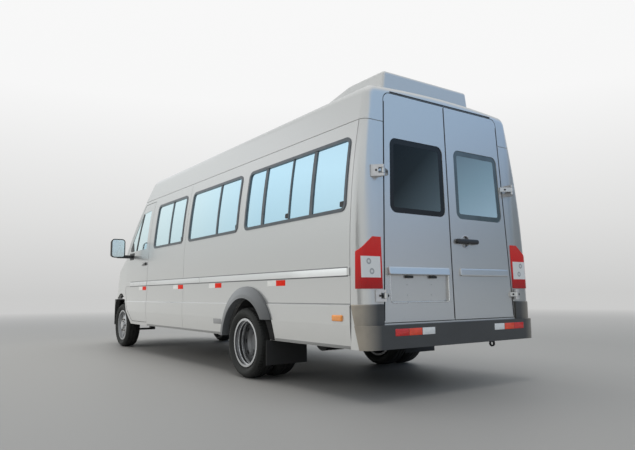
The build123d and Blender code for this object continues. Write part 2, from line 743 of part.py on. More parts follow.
# Hinge brackets on the pillars with the pins
with BuildPart() as rear_hinges:
    for z in HINGES:
        pad_x = rear_x(z)
        with BuildPart(mode=Mode.PRIVATE) as bracket:
            with BuildSketch(Plane.XY.offset(z - HINGE_H / 2)):
                with Locations((RDOOR_AXIS_X, RDOOR_AXIS_Y)):
                    Circle(KNUCKLE_R)
                with BuildLine():
                    Polyline(
                        (RDOOR_AXIS_X, RDOOR_AXIS_Y - KNUCKLE_R),
                        (RDOOR_AXIS_X - KNUCKLE_R, RDOOR_AXIS_Y),
                        (pad_x - 12, RDOOR_AXIS_Y + 72),
                        (pad_x + 60, RDOOR_AXIS_Y + 72),
                        (pad_x + 60, RDOOR_AXIS_Y - 2),
                        close=True,
                    )
                make_face()
            extrude(amount=HINGE_H)
            with BuildSketch(Plane.XY.offset(z - KNUCKLE_H / 2 - 3)):
                with Locations((RDOOR_AXIS_X, RDOOR_AXIS_Y)):
                    Circle(KNUCKLE_R + 5)
                with BuildLine():
                    Polyline(
                        (RDOOR_AXIS_X - 60, RDOOR_AXIS_Y + 38),
                        (RDOOR_AXIS_X + 8, RDOOR_AXIS_Y + 38),
                        (pad_x + 4, RDOOR_AXIS_Y - 8),
                        (pad_x + 4, RDOOR_AXIS_Y - 60),
                        (RDOOR_AXIS_X - 60, RDOOR_AXIS_Y - 60),
                        close=True,
                    )
                make_face()
            extrude(amount=KNUCKLE_H + 6, mode=Mode.SUBTRACT)
            with BuildSketch(Plane.XY.offset(z - HINGE_H / 2)):
                with Locations((RDOOR_AXIS_X, RDOOR_AXIS_Y)):
                    Circle(PIN_R)
            extrude(amount=HINGE_H)
            add(outer_shell, mode=Mode.SUBTRACT)
        add(bracket.part)
    mirror(about=Plane.XZ)
rear_hinges.part.label = "rear_hinges"
export_step(rear_hinges.part, "parts/rear_hinges.step")

# Rear bumper: beam under the doors, corners up beside them
RBUMPER_LOW_Z = 352.0
RBUMPER_TOP_Z = 517.0
RBUMPER_CORNER_Z = 663.0
RBUMPER_Y = 969.0
RBUMPER_X = -LENGTH / 2
with BuildPart() as rear_bumper:
    front_x = PILLAR_X - 6
    for z_low, z_high, back_x, corner_r in (
        (RBUMPER_LOW_Z, RBUMPER_TOP_Z, RBUMPER_X, 130.0),
        (RBUMPER_TOP_Z, RBUMPER_CORNER_Z, REAR_FACE_X - 14, 96.0),
    ):
        with BuildSketch(Plane.XY.offset(z_low)) as bumper_plan:
            with Locations(((front_x + back_x) / 2, 0)):
                Rectangle(front_x - back_x, 2 * RBUMPER_Y)
            fillet(bumper_plan.vertices().sort_by(Axis.X)[:2], corner_r)
        extrude(amount=z_high - z_low)
    fillet(rear_bumper.edges().filter_by(GeomType.CIRCLE).sort_by(Axis.Z)[-2:], 10)
    clear_y = RDOOR_LOW_Y + 2 * GAP
    add(
        box(RBUMPER_X - 50, REAR_FACE_X + 200, -clear_y, clear_y, RBUMPER_TOP_Z, RBUMPER_CORNER_Z + 50),
        mode=Mode.SUBTRACT,
    )
    add(
        side_prism(
            [
                (front_x + 50, RBUMPER_CORNER_Z + 20),
                (front_x - 4, RBUMPER_CORNER_Z + 20),
                (front_x - 80, RBUMPER_LOW_Z - 20),
                (front_x + 50, RBUMPER_LOW_Z - 20),
            ]
        ),
        mode=Mode.SUBTRACT,
    )
    add(outer_shell, mode=Mode.SUBTRACT)
rear_bumper.part.label = "rear_bumper"
export_step(rear_bumper.part, "parts/rear_bumper.step")

# Rear wheel-arch flares
with BuildPart() as rear_flares:
    with BuildSketch(Plane.XY) as flare_profile:
        with BuildLine():
            Polyline(
                (RX + ARCH_R - 8, BAND_Y - 20),
                (RX + ARCH_R - 8, FLARE_Y),
                (RX + ARCH_R + 22, FLARE_Y - 3),
                (RX + FLARE_R - 34, FLARE_Y - 20),
                (RX + FLARE_R - 6, BAND_Y + 22),
                (RX + FLARE_R, BAND_Y - 20),
                close=True,
            )
        make_face()
    with BuildPart(mode=Mode.PRIVATE) as flare_ring:
        with BuildSketch(Plane(origin=(0, 0, TYRE_R))):
            add(flare_profile.sketch)
        revolve(axis=Axis((RX, 0, TYRE_R), (0, 1, 0)))
        add(
            side_prism(
                [
                    (RX + 700, SILL_Z),
                    (RX + 700, 1000),
                    (RX - 700, 1000),
                    (RX - 700, 526),
                    (RX, 526),
                    (RX, SILL_Z),
                ]
            ),
            mode=Mode.INTERSECT,
        )
        add(left_panel_rear.part, mode=Mode.SUBTRACT)
    add(flare_ring.part, mode=Mode.REPLACE)
    mirror(about=Plane.XZ)
rear_flares.part.label = "rear_flares"
export_step(rear_flares.part, "parts/rear_flares.step")

# Cab frame: screen pillars, header and scuttle rail around the screen and over the doors
screen_open = front_prism(
    [
        (-SCREEN_OPEN[0][0], SCREEN_OPEN[0][1]),
        (SCREEN_OPEN[0][0], SCREEN_OPEN[0][1]),
        (SCREEN_OPEN[1][0], SCREEN_OPEN[1][1]),
        (-SCREEN_OPEN[1][0], SCREEN_OPEN[1][1]),
    ],
    DOOR_X + 200,
    FX + 200,
    60,
)
with BuildPart() as cab_inside:
    add(cab_block(WALL))
    add(screen_block(WALL), mode=Mode.INTERSECT)
with BuildPart() as cab_frame:
    add(cab_block())
    add(screen_block(), mode=Mode.INTERSECT)
    add(box(DOOR_X, FX, -HALF_BOX, HALF_BOX, SCREEN_Z, SEAM_Z), mode=Mode.INTERSECT)
    add(cab_inside.part, mode=Mode.SUBTRACT)
    add(side_prism(front_door_outline(GAP, HINGE_GAP)), mode=Mode.SUBTRACT)
    add(screen_open, mode=Mode.SUBTRACT)
    upper_pin = axis_pin(FDOOR_AXIS_HIGH[1] - 40, FDOOR_AXIS_HIGH[1] + 50, PIN_R)
    for pin in (upper_pin, upper_pin.mirror(Plane.XZ)):
        add(pin)
cab_frame.part.label = "cab_frame"
export_step(cab_frame.part, "parts/cab_frame.step")

with BuildPart() as windscreen:
    add(screen_block(GLASS_DEPTH))
    add(screen_block(GLASS_DEPTH + GLASS_T), mode=Mode.SUBTRACT)
    add(screen_open, mode=Mode.INTERSECT)
windscreen.part.label = "windscreen"
export_step(windscreen.part, "parts/windscreen.step")

# Front doors with one opening for the drop glass and the quarter light
FWINDOW = [
    (DOOR_X + 105, 1345),
    (FX - 432, 1345),
    (FX - 896, 1850),
    (DOOR_X + 105, 1866),
]
FWINDOW_R = 40.0
fwindow = side_prism(FWINDOW, corner=FWINDOW_R)
HANDLE_X = DOOR_X + 136.0
HANDLE_Z = 1148.0
with BuildPart() as front_door_left:
    add(cab_block(0, True))
    add(cab_block(WALL), mode=Mode.SUBTRACT)
    add(side_prism(front_door_outline()), mode=Mode.INTERSECT)
    add(box(DOOR_X, FX, 0, HALF_BOX, 0, ROOF_Z), mode=Mode.INTERSECT)
    add(fwindow, mode=Mode.SUBTRACT)
    low_z = FDOOR_AXIS_LOW[1]
    high_z = FDOOR_AXIS_HIGH[1]
    for low, high in ((low_z - 60, low_z + 76), (high_z - 46, high_z + 50)):
        add(axis_pin(low, high, PIN_R + PIN_CLEAR), mode=Mode.SUBTRACT)
    add(box(HANDLE_X - 70, HANDLE_X + 70, BAND_Y - 30, BAND_Y + 14, HANDLE_Z - 15, HANDLE_Z + 15))
front_door_left.part.label = "front_door_left"
export_step(front_door_left.part, "parts/front_door_left.step")

with BuildPart() as front_door_right:
    add(mirror(front_door_left.part, about=Plane.XZ, mode=Mode.PRIVATE))
front_door_right.part.label = "front_door_right"
export_step(front_door_right.part, "parts/front_door_right.step")

with BuildPart() as front_glass_left:
    add(cab_block(GLASS_DEPTH))
    add(cab_block(GLASS_DEPTH + GLASS_T), mode=Mode.SUBTRACT)
    add(fwindow, mode=Mode.INTERSECT)
    add(box(DOOR_X, FX, 0, HALF_BOX, 0, ROOF_Z), mode=Mode.INTERSECT)
front_glass_left.part.label = "front_glass_left"
export_step(front_glass_left.part, "parts/front_glass_left.step")

with BuildPart() as front_glass_right:
    add(mirror(front_glass_left.part, about=Plane.XZ, mode=Mode.PRIVATE))
front_glass_right.part.label = "front_glass_right"
export_step(front_glass_right.part, "parts/front_glass_right.step")

# Door mirrors: foot on the door's front corner, arm and head
MIRROR_X = FX - 640.0
MIRROR_Z = 1385.0
MIRROR_W = 190.0
MIRROR_H = 260.0
MIRROR_T = 85.0
MIRROR_Y = 1140.0
MIRROR_FOOT_Z = 1262.0
with BuildPart() as mirror_left:
    with BuildSketch(Plane.YZ.offset(MIRROR_X)):
        with Locations((MIRROR_Y, MIRROR_Z)):
            RectangleRounded(MIRROR_W, MIRROR_H, 45)
    extrude(amount=MIRROR_T, taper=8)
    add(box(MIRROR_X + 10, MIRROR_X + 60, BAND_Y - 90, MIRROR_Y, MIRROR_FOOT_Z - 10, MIRROR_FOOT_Z + 32))
    add(box(MIRROR_X - 40, MIRROR_X + 130, BAND_Y - 90, BAND_Y - 20, MIRROR_FOOT_Z - 30, MIRROR_FOOT_Z + 60))
    add(cab_block(0, True), mode=Mode.SUBTRACT)
mirror_left.part.label = "mirror_left"
export_step(mirror_left.part, "parts/mirror_left.step")

with BuildPart() as mirror_right:
    add(mirror(mirror_left.part, about=Plane.XZ, mode=Mode.PRIVATE))
mirror_right.part.label = "mirror_right"
export_step(mirror_right.part, "parts/mirror_right.step")

# Nose: bonnet, fenders, headlamps, grille and bumper cut from one rounded front
BONNET_REAR_X = FX + 25.0
BONNET_REAR_Y = 760.0
BONNET_FRONT_X = FX + 760.0
BONNET_FRONT_Y = 668.0
BONNET_GAP = 8.0
BONNET_AXIS_X = FX - 120.0
BONNET_AXIS_Z = 1240.0
EAR_Y = 692.0
EAR_T = 12.0
SCUTTLE_Y = 772.0


def bonnet_block(grow=0.0, z_low=0.0):
    """Block over the bonnet's outline in plan."""
    slope = (BONNET_REAR_Y - BONNET_FRONT_Y) / (BONNET_FRONT_X - BONNET_REAR_X)
    rear_x_edge = BONNET_REAR_X - grow - SCREEN_R + sqrt(SCREEN_R ** 2 - BONNET_REAR_Y ** 2)
    far_x = FX + 1100.0
    far_y = BONNET_FRONT_Y - slope * (far_x - BONNET_FRONT_X) + grow
    rear_y = BONNET_FRONT_Y + slope * (BONNET_FRONT_X - rear_x_edge) + grow
    with BuildPart() as block:
        with BuildSketch(Plane.XY.offset(z_low)):
            with BuildLine():
                ThreePointArc((rear_x_edge, rear_y), (BONNET_REAR_X - grow, 0), (rear_x_edge, -rear_y))
                Polyline((rear_x_edge, -rear_y), (far_x, -far_y), (far_x, far_y), (rear_x_edge, rear_y))
            make_face()
        extrude(amount=1600 - z_low)
    return block.part


nose_outer = nose_block(0, True)
nose_smooth = nose_block(0)
nose_inner = nose_block(SKIN_T)
with BuildPart() as bonnet:
    add(nose_smooth)
    add(nose_inner, mode=Mode.SUBTRACT)
    add(bonnet_block(0, BONNET_LIP_Z), mode=Mode.INTERSECT)
    for side in (1, -1):
        with BuildSketch(Plane.XZ.offset(-side * EAR_Y)):
            with Locations((BONNET_AXIS_X, BONNET_AXIS_Z)):
                Circle(PIN_R + 8)
            with BuildLine():
                Polyline(
                    (BONNET_AXIS_X - 4, BONNET_AXIS_Z - 15),
                    (BONNET_AXIS_X + 90, BONNET_AXIS_Z - 60),
                    (BONNET_AXIS_X + 90, BONNET_AXIS_Z - 40),
                    (BONNET_AXIS_X + 2, BONNET_AXIS_Z + 8),
                    close=True,
                )
            make_face()
            with Locations((BONNET_AXIS_X, BONNET_AXIS_Z)):
                Circle(PIN_R + PIN_CLEAR, mode=Mode.SUBTRACT)
        extrude(amount=-side * EAR_T)
bonnet.part.label = "bonnet"
export_step(bonnet.part, "parts/bonnet.step")

HEADLAMP = [(418, 700), (800, 716), (905, 790), (905, 900), (840, 912), (440, 886)]
HEADLAMP_T = 70.0
nose_deep = nose_block(HEADLAMP_T)
with BuildPart() as headlamps:
    add(nose_smooth)
    add(nose_deep, mode=Mode.SUBTRACT)
    add(front_prism(HEADLAMP, FX + 440, FX + 1000, 20), mode=Mode.INTERSECT)
    add(bonnet_block(BONNET_GAP, BONNET_LIP_Z - BONNET_GAP), mode=Mode.SUBTRACT)
    mirror(about=Plane.XZ)
headlamps.part.label = "headlamps"
export_step(headlamps.part, "parts/headlamps.step")

with BuildPart() as front_fenders:
    add(nose_outer)
    add(nose_inner, mode=Mode.SUBTRACT)
    add(box(DOOR_X + SEAM_GAP, FX + 1000, -HALF_BOX, HALF_BOX, SILL_Z, SCREEN_Z), mode=Mode.INTERSECT)
    add(side_prism(front_door_outline(GAP, HINGE_GAP)), mode=Mode.SUBTRACT)
    add(front_arch.part, mode=Mode.SUBTRACT)
    add(bonnet_block(BONNET_GAP), mode=Mode.SUBTRACT)
    add(box(DOOR_X, FX + 120, -SCUTTLE_Y, SCUTTLE_Y, 0, SCREEN_Z + 200), mode=Mode.SUBTRACT)
    add(box(FX, FX + 1000, -HALF_BOX, HALF_BOX, 0, BUMPER_TOP_Z + GAP), mode=Mode.SUBTRACT)
    add(headlamps.part, mode=Mode.SUBTRACT)
    lower_pin = axis_pin(FDOOR_AXIS_LOW[1] - 40, FDOOR_AXIS_LOW[1] + 70, PIN_R)
    for pin in (lower_pin, lower_pin.mirror(Plane.XZ)):
        add(pin)
front_fenders.part.label = "front_fenders"
export_step(front_fenders.part, "parts/front_fenders.step")

GRILLE_Y = 410.0
GRILLE_Z = (BUMPER_TOP_Z, 890.0)
GRILLE_SLATS = 4
GRILLE_RIM = 24.0
GRILLE_SLAT_H = 20.0
GRILLE_DEPTH = 24.0


def nose_band(outer, inner, z_low, z_high):
    """Leaning band of the nose's front between two depths and two heights."""
    x_front = NOSE_X + NOSE_LEAN * (NOSE_Z - z_low)
    with BuildPart() as band:
        with BuildSketch(Plane.XY.offset(z_low)):
            add(nose_plan(x_front, outer))
            add(nose_plan(x_front, inner), mode=Mode.SUBTRACT)
        extrude(amount=(z_high - z_low) * hypot(1, NOSE_LEAN), dir=(-NOSE_LEAN, 0, 1))
    return band.part


with BuildPart() as grille:
    add(nose_band(0, SKIN_T, GRILLE_Z[0], GRILLE_Z[1]))
    outline = [
        (-GRILLE_Y, GRILLE_Z[0]),
        (GRILLE_Y, GRILLE_Z[0]),
        (GRILLE_Y + 16, GRILLE_Z[1]),
        (-GRILLE_Y - 16, GRILLE_Z[1]),
    ]
    add(front_prism(outline, FX + 500, FX + 1000, 16), mode=Mode.INTERSECT)
    pitch = (GRILLE_Z[1] - GRILLE_Z[0] - GRILLE_RIM) / GRILLE_SLATS
    slot_y = GRILLE_Y - GRILLE_RIM
    for index in range(GRILLE_SLATS):
        low = GRILLE_Z[0] + GRILLE_RIM + index * pitch
        with BuildPart(mode=Mode.PRIVATE) as slot:
            add(nose_band(-20, GRILLE_DEPTH, low, low + pitch - GRILLE_SLAT_H))
            add(box(FX + 500, FX + 1000, -slot_y, slot_y, low - 50, low + pitch + 50), mode=Mode.INTERSECT)
        add(slot.part, mode=Mode.SUBTRACT)
grille.part.label = "grille"
export_step(grille.part, "parts/grille.step")

FBUMPER_T = 60.0
SHELF_T = 20.0
SHELF_DEEP = 120.0
with BuildPart() as front_bumper:
    with BuildSketch(Plane.XY.offset(BUMPER_LOW_Z)):
        add(nose_plan(LENGTH / 2))
        add(nose_plan(LENGTH / 2, FBUMPER_T), mode=Mode.SUBTRACT)
    extrude(amount=BUMPER_TOP_Z - BUMPER_LOW_Z)
    with BuildSketch(Plane.XY.offset(BUMPER_TOP_Z - SHELF_T)):
        add(nose_plan(LENGTH / 2))
        add(nose_plan(LENGTH / 2, SHELF_DEEP), mode=Mode.SUBTRACT)
    extrude(amount=SHELF_T)
    add(box(FX, FX + 1000, -HALF_BOX, HALF_BOX, 0, 1000), mode=Mode.INTERSECT)
    add(front_arch.part, mode=Mode.SUBTRACT)
    intake = [(-420, 400), (420, 400), (380, 500), (-380, 500)]
    add(front_prism(intake, LENGTH / 2 - 30, LENGTH / 2 + 50, 20), mode=Mode.SUBTRACT)
front_bumper.part.label = "front_bumper"
export_step(front_bumper.part, "parts/front_bumper.step")

# Floor with rear wheel houses, front bulkhead and scuttle
WALL_IN_Y = BAND_Y - WALL
CAB_FLOOR_Y = SCUTTLE_Y - 0.5
TOE_Y = 480.0
BULK_IN = 70.0
BULK_OUT = 30.0
SCUTTLE_Z = 1170.0
LUG_T = 12.0


def arc_band(x_rear, x_front, half, z_low, z_high):
    """Upright band between two arcs that follow the windscreen's foot."""
    with BuildPart() as band:
        add(curved_front(x_front, SCREEN_R, z_low, z_high, 0, DOOR_X))
        add(curved_front(x_rear, SCREEN_R, z_low, z_high, 0, DOOR_X - 10), mode=Mode.SUBTRACT)
        add(box(DOOR_X, FX + 400, -half, half, z_low, z_high), mode=Mode.INTERSECT)
    return band.part


with BuildPart() as floor:
    add(
        plan_prism(
            [
                (rear_x(FLOOR_Z) + RDOOR_T + 14, WALL_IN_Y),
                (DOOR_X, WALL_IN_Y),
                (DOOR_X, CAB_FLOOR_Y),
                (FX - 480, CAB_FLOOR_Y),
                (FX - 480, TOE_Y),
                (FX - 90, TOE_Y),
                (FX - 90, -TOE_Y),
                (FX - 480, -TOE_Y),
                (FX - 480, -CAB_FLOOR_Y),
                (DOOR_X, -CAB_FLOOR_Y),
                (DOOR_X, -WALL_IN_Y),
                (rear_x(FLOOR_Z) + RDOOR_T + 14, -WALL_IN_Y),
            ],
            FLOOR_Z,
            FLOOR_Z + FLOOR_T,
        )
    )
    for side in (1, -1):
        with BuildSketch(Plane.XZ.offset(-side * (HOUSE_Y - HOUSE_T))):
            with Locations((RX, TYRE_R)):
                Circle(ARCH_R + HOUSE_T)
            with Locations((RX, TYRE_R - 360)):
                Rectangle(1200, 1000, mode=Mode.SUBTRACT)
        extrude(amount=-side * (WALL_IN_Y - HOUSE_Y + HOUSE_T))
    for side in (1, -1):
        with BuildSketch(Plane.XZ.offset(-side * HOUSE_Y)):
            with Locations((RX, TYRE_R)):
                Circle(ARCH_R)
        extrude(amount=-side * 500, mode=Mode.SUBTRACT)
    add(arc_band(SCREEN_X - BULK_IN, SCREEN_X - BULK_OUT, TOE_Y, FLOOR_Z, FLOOR_Z + 130))
    add(arc_band(SCREEN_X - BULK_IN, SCREEN_X - BULK_OUT, CAB_FLOOR_Y, FLOOR_Z + 130, SCREEN_Z))
    add(arc_band(SCREEN_X - BULK_OUT - 5, FX + 40, CAB_FLOOR_Y, SCUTTLE_Z, SCUTTLE_Z + 15))
    for side in (1, -1):
        lug_y = EAR_Y - LUG_T - 6
        with BuildSketch(Plane.XZ.offset(-side * lug_y)):
            with Locations((BONNET_AXIS_X, BONNET_AXIS_Z)):
                Circle(PIN_R + 7)
            with Locations((BONNET_AXIS_X, (BONNET_AXIS_Z + SCUTTLE_Z) / 2)):
                Rectangle(2 * PIN_R + 14, BONNET_AXIS_Z - SCUTTLE_Z)
        extrude(amount=-side * LUG_T)
        with BuildSketch(Plane.XZ.offset(-side * lug_y)):
            with Locations((BONNET_AXIS_X, BONNET_AXIS_Z)):
                Circle(PIN_R)
        extrude(amount=-side * (LUG_T + 6 + EAR_T + 4))
    add(rear_frame.part, mode=Mode.SUBTRACT)
floor.part.label = "floor"
export_step(floor.part, "parts/floor.step")

# Chassis frame: two rails, cross members, rear towing lug
RAIL_Y = (360.0, 440.0)
RAIL_Z = 480.0
RAIL_REAR_X = REAR_FACE_X + 105.0
RAIL_FRONT_X = FX + 620.0
CROSS_X = [RX - 620.0, RX + 700.0, RX + 1500.0, RX + 2300.0, FX - 700.0]
CROSS_Z = (520.0, 560.0)
TOW_Y = -527.0
TOW_T = 16.0
TOW_HOLE_R = 14.0
TOW_X = RAIL_REAR_X - 25.0
TOW_Z = 318.0
with BuildPart() as chassis_frame:
    for side in (1, -1):
        add(box(RAIL_REAR_X, RAIL_FRONT_X, *sorted((side * RAIL_Y[0], side * RAIL_Y[1])), RAIL_Z, FLOOR_Z))
    for cross_x in CROSS_X:
        add(box(cross_x - 40, cross_x + 40, -RAIL_Y[0], RAIL_Y[0], *CROSS_Z))
    add(box(RAIL_REAR_X - 49, RAIL_REAR_X, -620, 620, RAIL_Z, FLOOR_Z))
    add(box(RAIL_FRONT_X, RAIL_FRONT_X + 40, -520, 520, RAIL_Z - 60, FLOOR_Z - 60))
    with BuildSketch(Plane.XZ.offset(-TOW_Y - TOW_T / 2)):
        with Locations((TOW_X, TOW_Z)):
            Circle(25)
        with Locations((TOW_X, (TOW_Z + RAIL_Z) / 2)):
            Rectangle(46, RAIL_Z - TOW_Z)
        with Locations((TOW_X, TOW_Z)):
            Circle(TOW_HOLE_R, mode=Mode.SUBTRACT)
    extrude(amount=TOW_T)
chassis_frame.part.label = "chassis_frame"
export_step(chassis_frame.part, "parts/chassis_frame.step")

# Wheels and tyres, turned about the axle line
RIM_R = 205.0
RIM_W = 150.0
RIM_LIP = 10.0
BARREL_T = 9.0
FRONT_TYRE_Y = 785.0
REAR_OUTER_Y = 898.0
REAR_INNER_Y = 666.0
SPINDLE_R = 32.0
REAR_SPINDLE_R = 45.0
RUN_CLEAR = 0.3


def tyre_outline():
    """Half of a tyre's outline as (radius, across): bead, wall, shoulder and tread edge."""
    half = TYRE_W / 2
    return [
        (RIM_R + 0.3, RIM_W / 2 - 14),
        (RIM_R + RIM_LIP + 2, RIM_W / 2 - 14),
        (RIM_R + 50, half),
        (TYRE_R - 24, half - 8),
        (TYRE_R, half - 34),
    ]


def tyre(x, y):
    """One tyre centred at a station and a width."""
    outline = tyre_outline()
    points = [(x + r, y + across) for r, across in outline]
    points += [(x + r, y - across) for r, across in reversed(outline)]
    with BuildPart() as ring:
        with BuildSketch(Plane.XY.offset(TYRE_R)):
            with BuildLine():
                Polyline(*points, close=True)
            make_face()
        revolve(axis=Axis((x, 0, TYRE_R), (0, 1, 0)))
    return ring.part


def rim(x, y, disc_y, hub_y, bore_r, hub=()):
    """One steel wheel: barrel with two lips, dished disc and hub, turned about the axle line."""
    half = RIM_W / 2
    barrel = [
        (RIM_R, y - half + 12),
        (RIM_R + RIM_LIP, y - half + 6),
        (RIM_R + RIM_LIP, y - half),
        (RIM_R - BARREL_T, y - half),
        (RIM_R - BARREL_T, y + half),
        (RIM_R + RIM_LIP, y + half),
        (RIM_R + RIM_LIP, y + half - 6),
        (RIM_R, y + half - 12),
    ]
    disc = [
        (bore_r, hub_y - DISC_T / 2),
        (bore_r, hub_y + DISC_T / 2),
        (DISH_R, hub_y + DISC_T / 2),
        (DISH_R + 40, disc_y + DISC_T / 2),
        (RIM_R - BARREL_T + 2, disc_y + DISC_T / 2),
        (RIM_R - BARREL_T + 2, disc_y - DISC_T / 2),
        (DISH_R + 36, disc_y - DISC_T / 2),
        (DISH_R - 4, hub_y - DISC_T / 2),
    ]
    with BuildPart() as wheel:
        with BuildSketch(Plane.XY.offset(TYRE_R)):
            for outline in (barrel, disc, hub):
                if outline:
                    with BuildLine():
                        Polyline(*[(x + r, across) for r, across in outline], close=True)
                    make_face()
        revolve(axis=Axis((x, 0, TYRE_R), (0, 1, 0)))
    return wheel.part


DISC_T = 13.0
DISH_R = 110.0
FRONT_DISC_Y = FRONT_TYRE_Y + 30.0
FRONT_HUB_Y = FRONT_TYRE_Y + 52.0
FRONT_BORE_R = SPINDLE_R + RUN_CLEAR
CAP_IN_Y = FRONT_HUB_Y + 5.0
FRONT_HUB = [
    (0, CAP_IN_Y),
    (FRONT_BORE_R, CAP_IN_Y),
    (FRONT_BORE_R, FRONT_HUB_Y - 98),
    (62, FRONT_HUB_Y - 98),
    (62, FRONT_HUB_Y),
    (58, CAP_IN_Y + 4),
    (52, CAP_IN_Y + 26),
    (0, CAP_IN_Y + 26),
]
VENTS = 10
VENT_R = 165.0
with BuildPart() as front_wheel_left:
    add(rim(FX, FRONT_TYRE_Y, FRONT_DISC_Y, FRONT_HUB_Y, FRONT_BORE_R, FRONT_HUB))
    with BuildSketch(Plane.XZ.offset(-FRONT_TYRE_Y)):
        with Locations((FX, TYRE_R)):
            with PolarLocations(VENT_R, VENTS):
                SlotOverall(46, 24, rotation=90)
    extrude(amount=-120, mode=Mode.SUBTRACT)
front_wheel_left.part.label = "front_wheel_left"
export_step(front_wheel_left.part, "parts/front_wheel_left.step")

with BuildPart() as front_tyre_left:
    add(tyre(FX, FRONT_TYRE_Y))
front_tyre_left.part.label = "front_tyre_left"
export_step(front_tyre_left.part, "parts/front_tyre_left.step")

TWIN_Y = (REAR_OUTER_Y + REAR_INNER_Y) / 2
REAR_HUB_R = 76.0
with BuildPart() as rear_wheels_left:
    add(rim(RX, REAR_OUTER_Y, REAR_OUTER_Y - 40, TWIN_Y + DISC_T / 2, REAR_SPINDLE_R + RUN_CLEAR))
    add(rim(RX, REAR_INNER_Y, REAR_INNER_Y + 40, TWIN_Y - DISC_T / 2, REAR_SPINDLE_R + RUN_CLEAR))
    with BuildSketch(Plane.XZ.offset(-TWIN_Y + 60)):
        with Locations((RX, TYRE_R)):
            Circle(REAR_HUB_R)
            Circle(REAR_SPINDLE_R + RUN_CLEAR, mode=Mode.SUBTRACT)
    extrude(amount=-130)
    with BuildSketch(Plane.XZ.offset(-TWIN_Y - 70)):
        with Locations((RX, TYRE_R)):
            Circle(REAR_HUB_R)
    extrude(amount=-16)
    with BuildSketch(Plane.XZ.offset(-TWIN_Y + 160)):
        with Locations((RX, TYRE_R)):
            with PolarLocations(VENT_R + 8, VENTS):
                SlotOverall(46, 24, rotation=90)
    extrude(amount=-320, mode=Mode.SUBTRACT)
rear_wheels_left.part.label = "rear_wheels_left"
export_step(rear_wheels_left.part, "parts/rear_wheels_left.step")

with BuildPart() as rear_tyres_left:
    add(tyre(RX, REAR_OUTER_Y))
    add(tyre(RX, REAR_INNER_Y))
rear_tyres_left.part.label = "rear_tyres_left"
export_step(rear_tyres_left.part, "parts/rear_tyres_left.step")

with BuildPart() as front_wheel_right:
    add(mirror(front_wheel_left.part, about=Plane.XZ, mode=Mode.PRIVATE))
front_wheel_right.part.label = "front_wheel_right"
export_step(front_wheel_right.part, "parts/front_wheel_right.step")

with BuildPart() as front_tyre_right:
    add(mirror(front_tyre_left.part, about=Plane.XZ, mode=Mode.PRIVATE))
front_tyre_right.part.label = "front_tyre_right"
export_step(front_tyre_right.part, "parts/front_tyre_right.step")

with BuildPart() as rear_wheels_right:
    add(mirror(rear_wheels_left.part, about=Plane.XZ, mode=Mode.PRIVATE))
rear_wheels_right.part.label = "rear_wheels_right"
export_step(rear_wheels_right.part, "parts/rear_wheels_right.step")

with BuildPart() as rear_tyres_right:
    add(mirror(rear_tyres_left.part, about=Plane.XZ, mode=Mode.PRIVATE))
rear_tyres_right.part.label = "rear_tyres_right"
export_step(rear_tyres_right.part, "parts/rear_tyres_right.step")

# Steering knuckles: upright and strut on the steering line, spindle out to the wheel
KING_Y = 640.0
KING_LOW_Z = 262.0
STRUT_TOP_Z = 700.0
STRUT_R = 26.0
with BuildPart() as knuckle_left:
    add(box(FX - 32, FX + 32, KING_Y - 30, KING_Y + 30, KING_LOW_Z, 430))
    with BuildSketch(Plane.XY.offset(430)):
        with Locations((FX, KING_Y)):
            Circle(STRUT_R)
    extrude(amount=STRUT_TOP_Z - 430)
    with BuildSketch(Plane.XZ.offset(-KING_Y)):
        with Locations((FX, TYRE_R)):
            Circle(SPINDLE_R)
    extrude(amount=-(FRONT_HUB_Y - KING_Y))
    with BuildSketch(Plane.XY.offset(KING_LOW_Z)):
        with Locations((FX, KING_Y)):
            Circle(16)
    extrude(amount=-30)
knuckle_left.part.label = "knuckle_left"
export_step(knuckle_left.part, "parts/knuckle_left.step")

with BuildPart() as knuckle_right:
    add(mirror(knuckle_left.part, about=Plane.XZ, mode=Mode.PRIVATE))
knuckle_right.part.label = "knuckle_right"
export_step(knuckle_right.part, "parts/knuckle_right.step")

# Front suspension: cross member, lower arms with a socket, strut towers
with BuildPart() as front_suspension:
    add(box(FX - 60, FX + 60, -RAIL_Y[1], RAIL_Y[1], 340, 430))
    for side in (1, -1):
        add(box(FX - 50, FX + 50, *sorted((side * RAIL_Y[0], side * RAIL_Y[1])), 430, RAIL_Z))
        add(box(FX - 45, FX + 45, *sorted((side * 380, side * RAIL_Y[1])), 228, 340))
        add(box(FX - 30, FX + 30, *sorted((side * RAIL_Y[1], side * KING_Y)), 228, 254))
        with BuildSketch(Plane.XY.offset(228)):
            with Locations((FX, side * KING_Y)):
                Circle(34)
        extrude(amount=26)
        with BuildSketch(Plane.XY.offset(228)):
            with Locations((FX, side * KING_Y)):
                Circle(16 + RUN_CLEAR)
        extrude(amount=40, mode=Mode.SUBTRACT)
front_suspension.part.label = "front_suspension"
export_step(front_suspension.part, "parts/front_suspension.step")

with BuildPart() as strut_towers:
    for side in (1, -1):
        add(box(FX - 40, FX + 40, *sorted((side * RAIL_Y[0], side * RAIL_Y[1])), FLOOR_Z, STRUT_TOP_Z + 34))
        bridge_y = sorted((side * RAIL_Y[1], side * KING_Y))
        add(box(FX - 40, FX + 40, *bridge_y, STRUT_TOP_Z + 6, STRUT_TOP_Z + 34))
        with BuildSketch(Plane.XY.offset(STRUT_TOP_Z + RUN_CLEAR)):
            with Locations((FX, side * KING_Y)):
                Circle(56)
        extrude(amount=34 - RUN_CLEAR)
strut_towers.part.label = "strut_towers"
export_step(strut_towers.part, "parts/strut_towers.step")

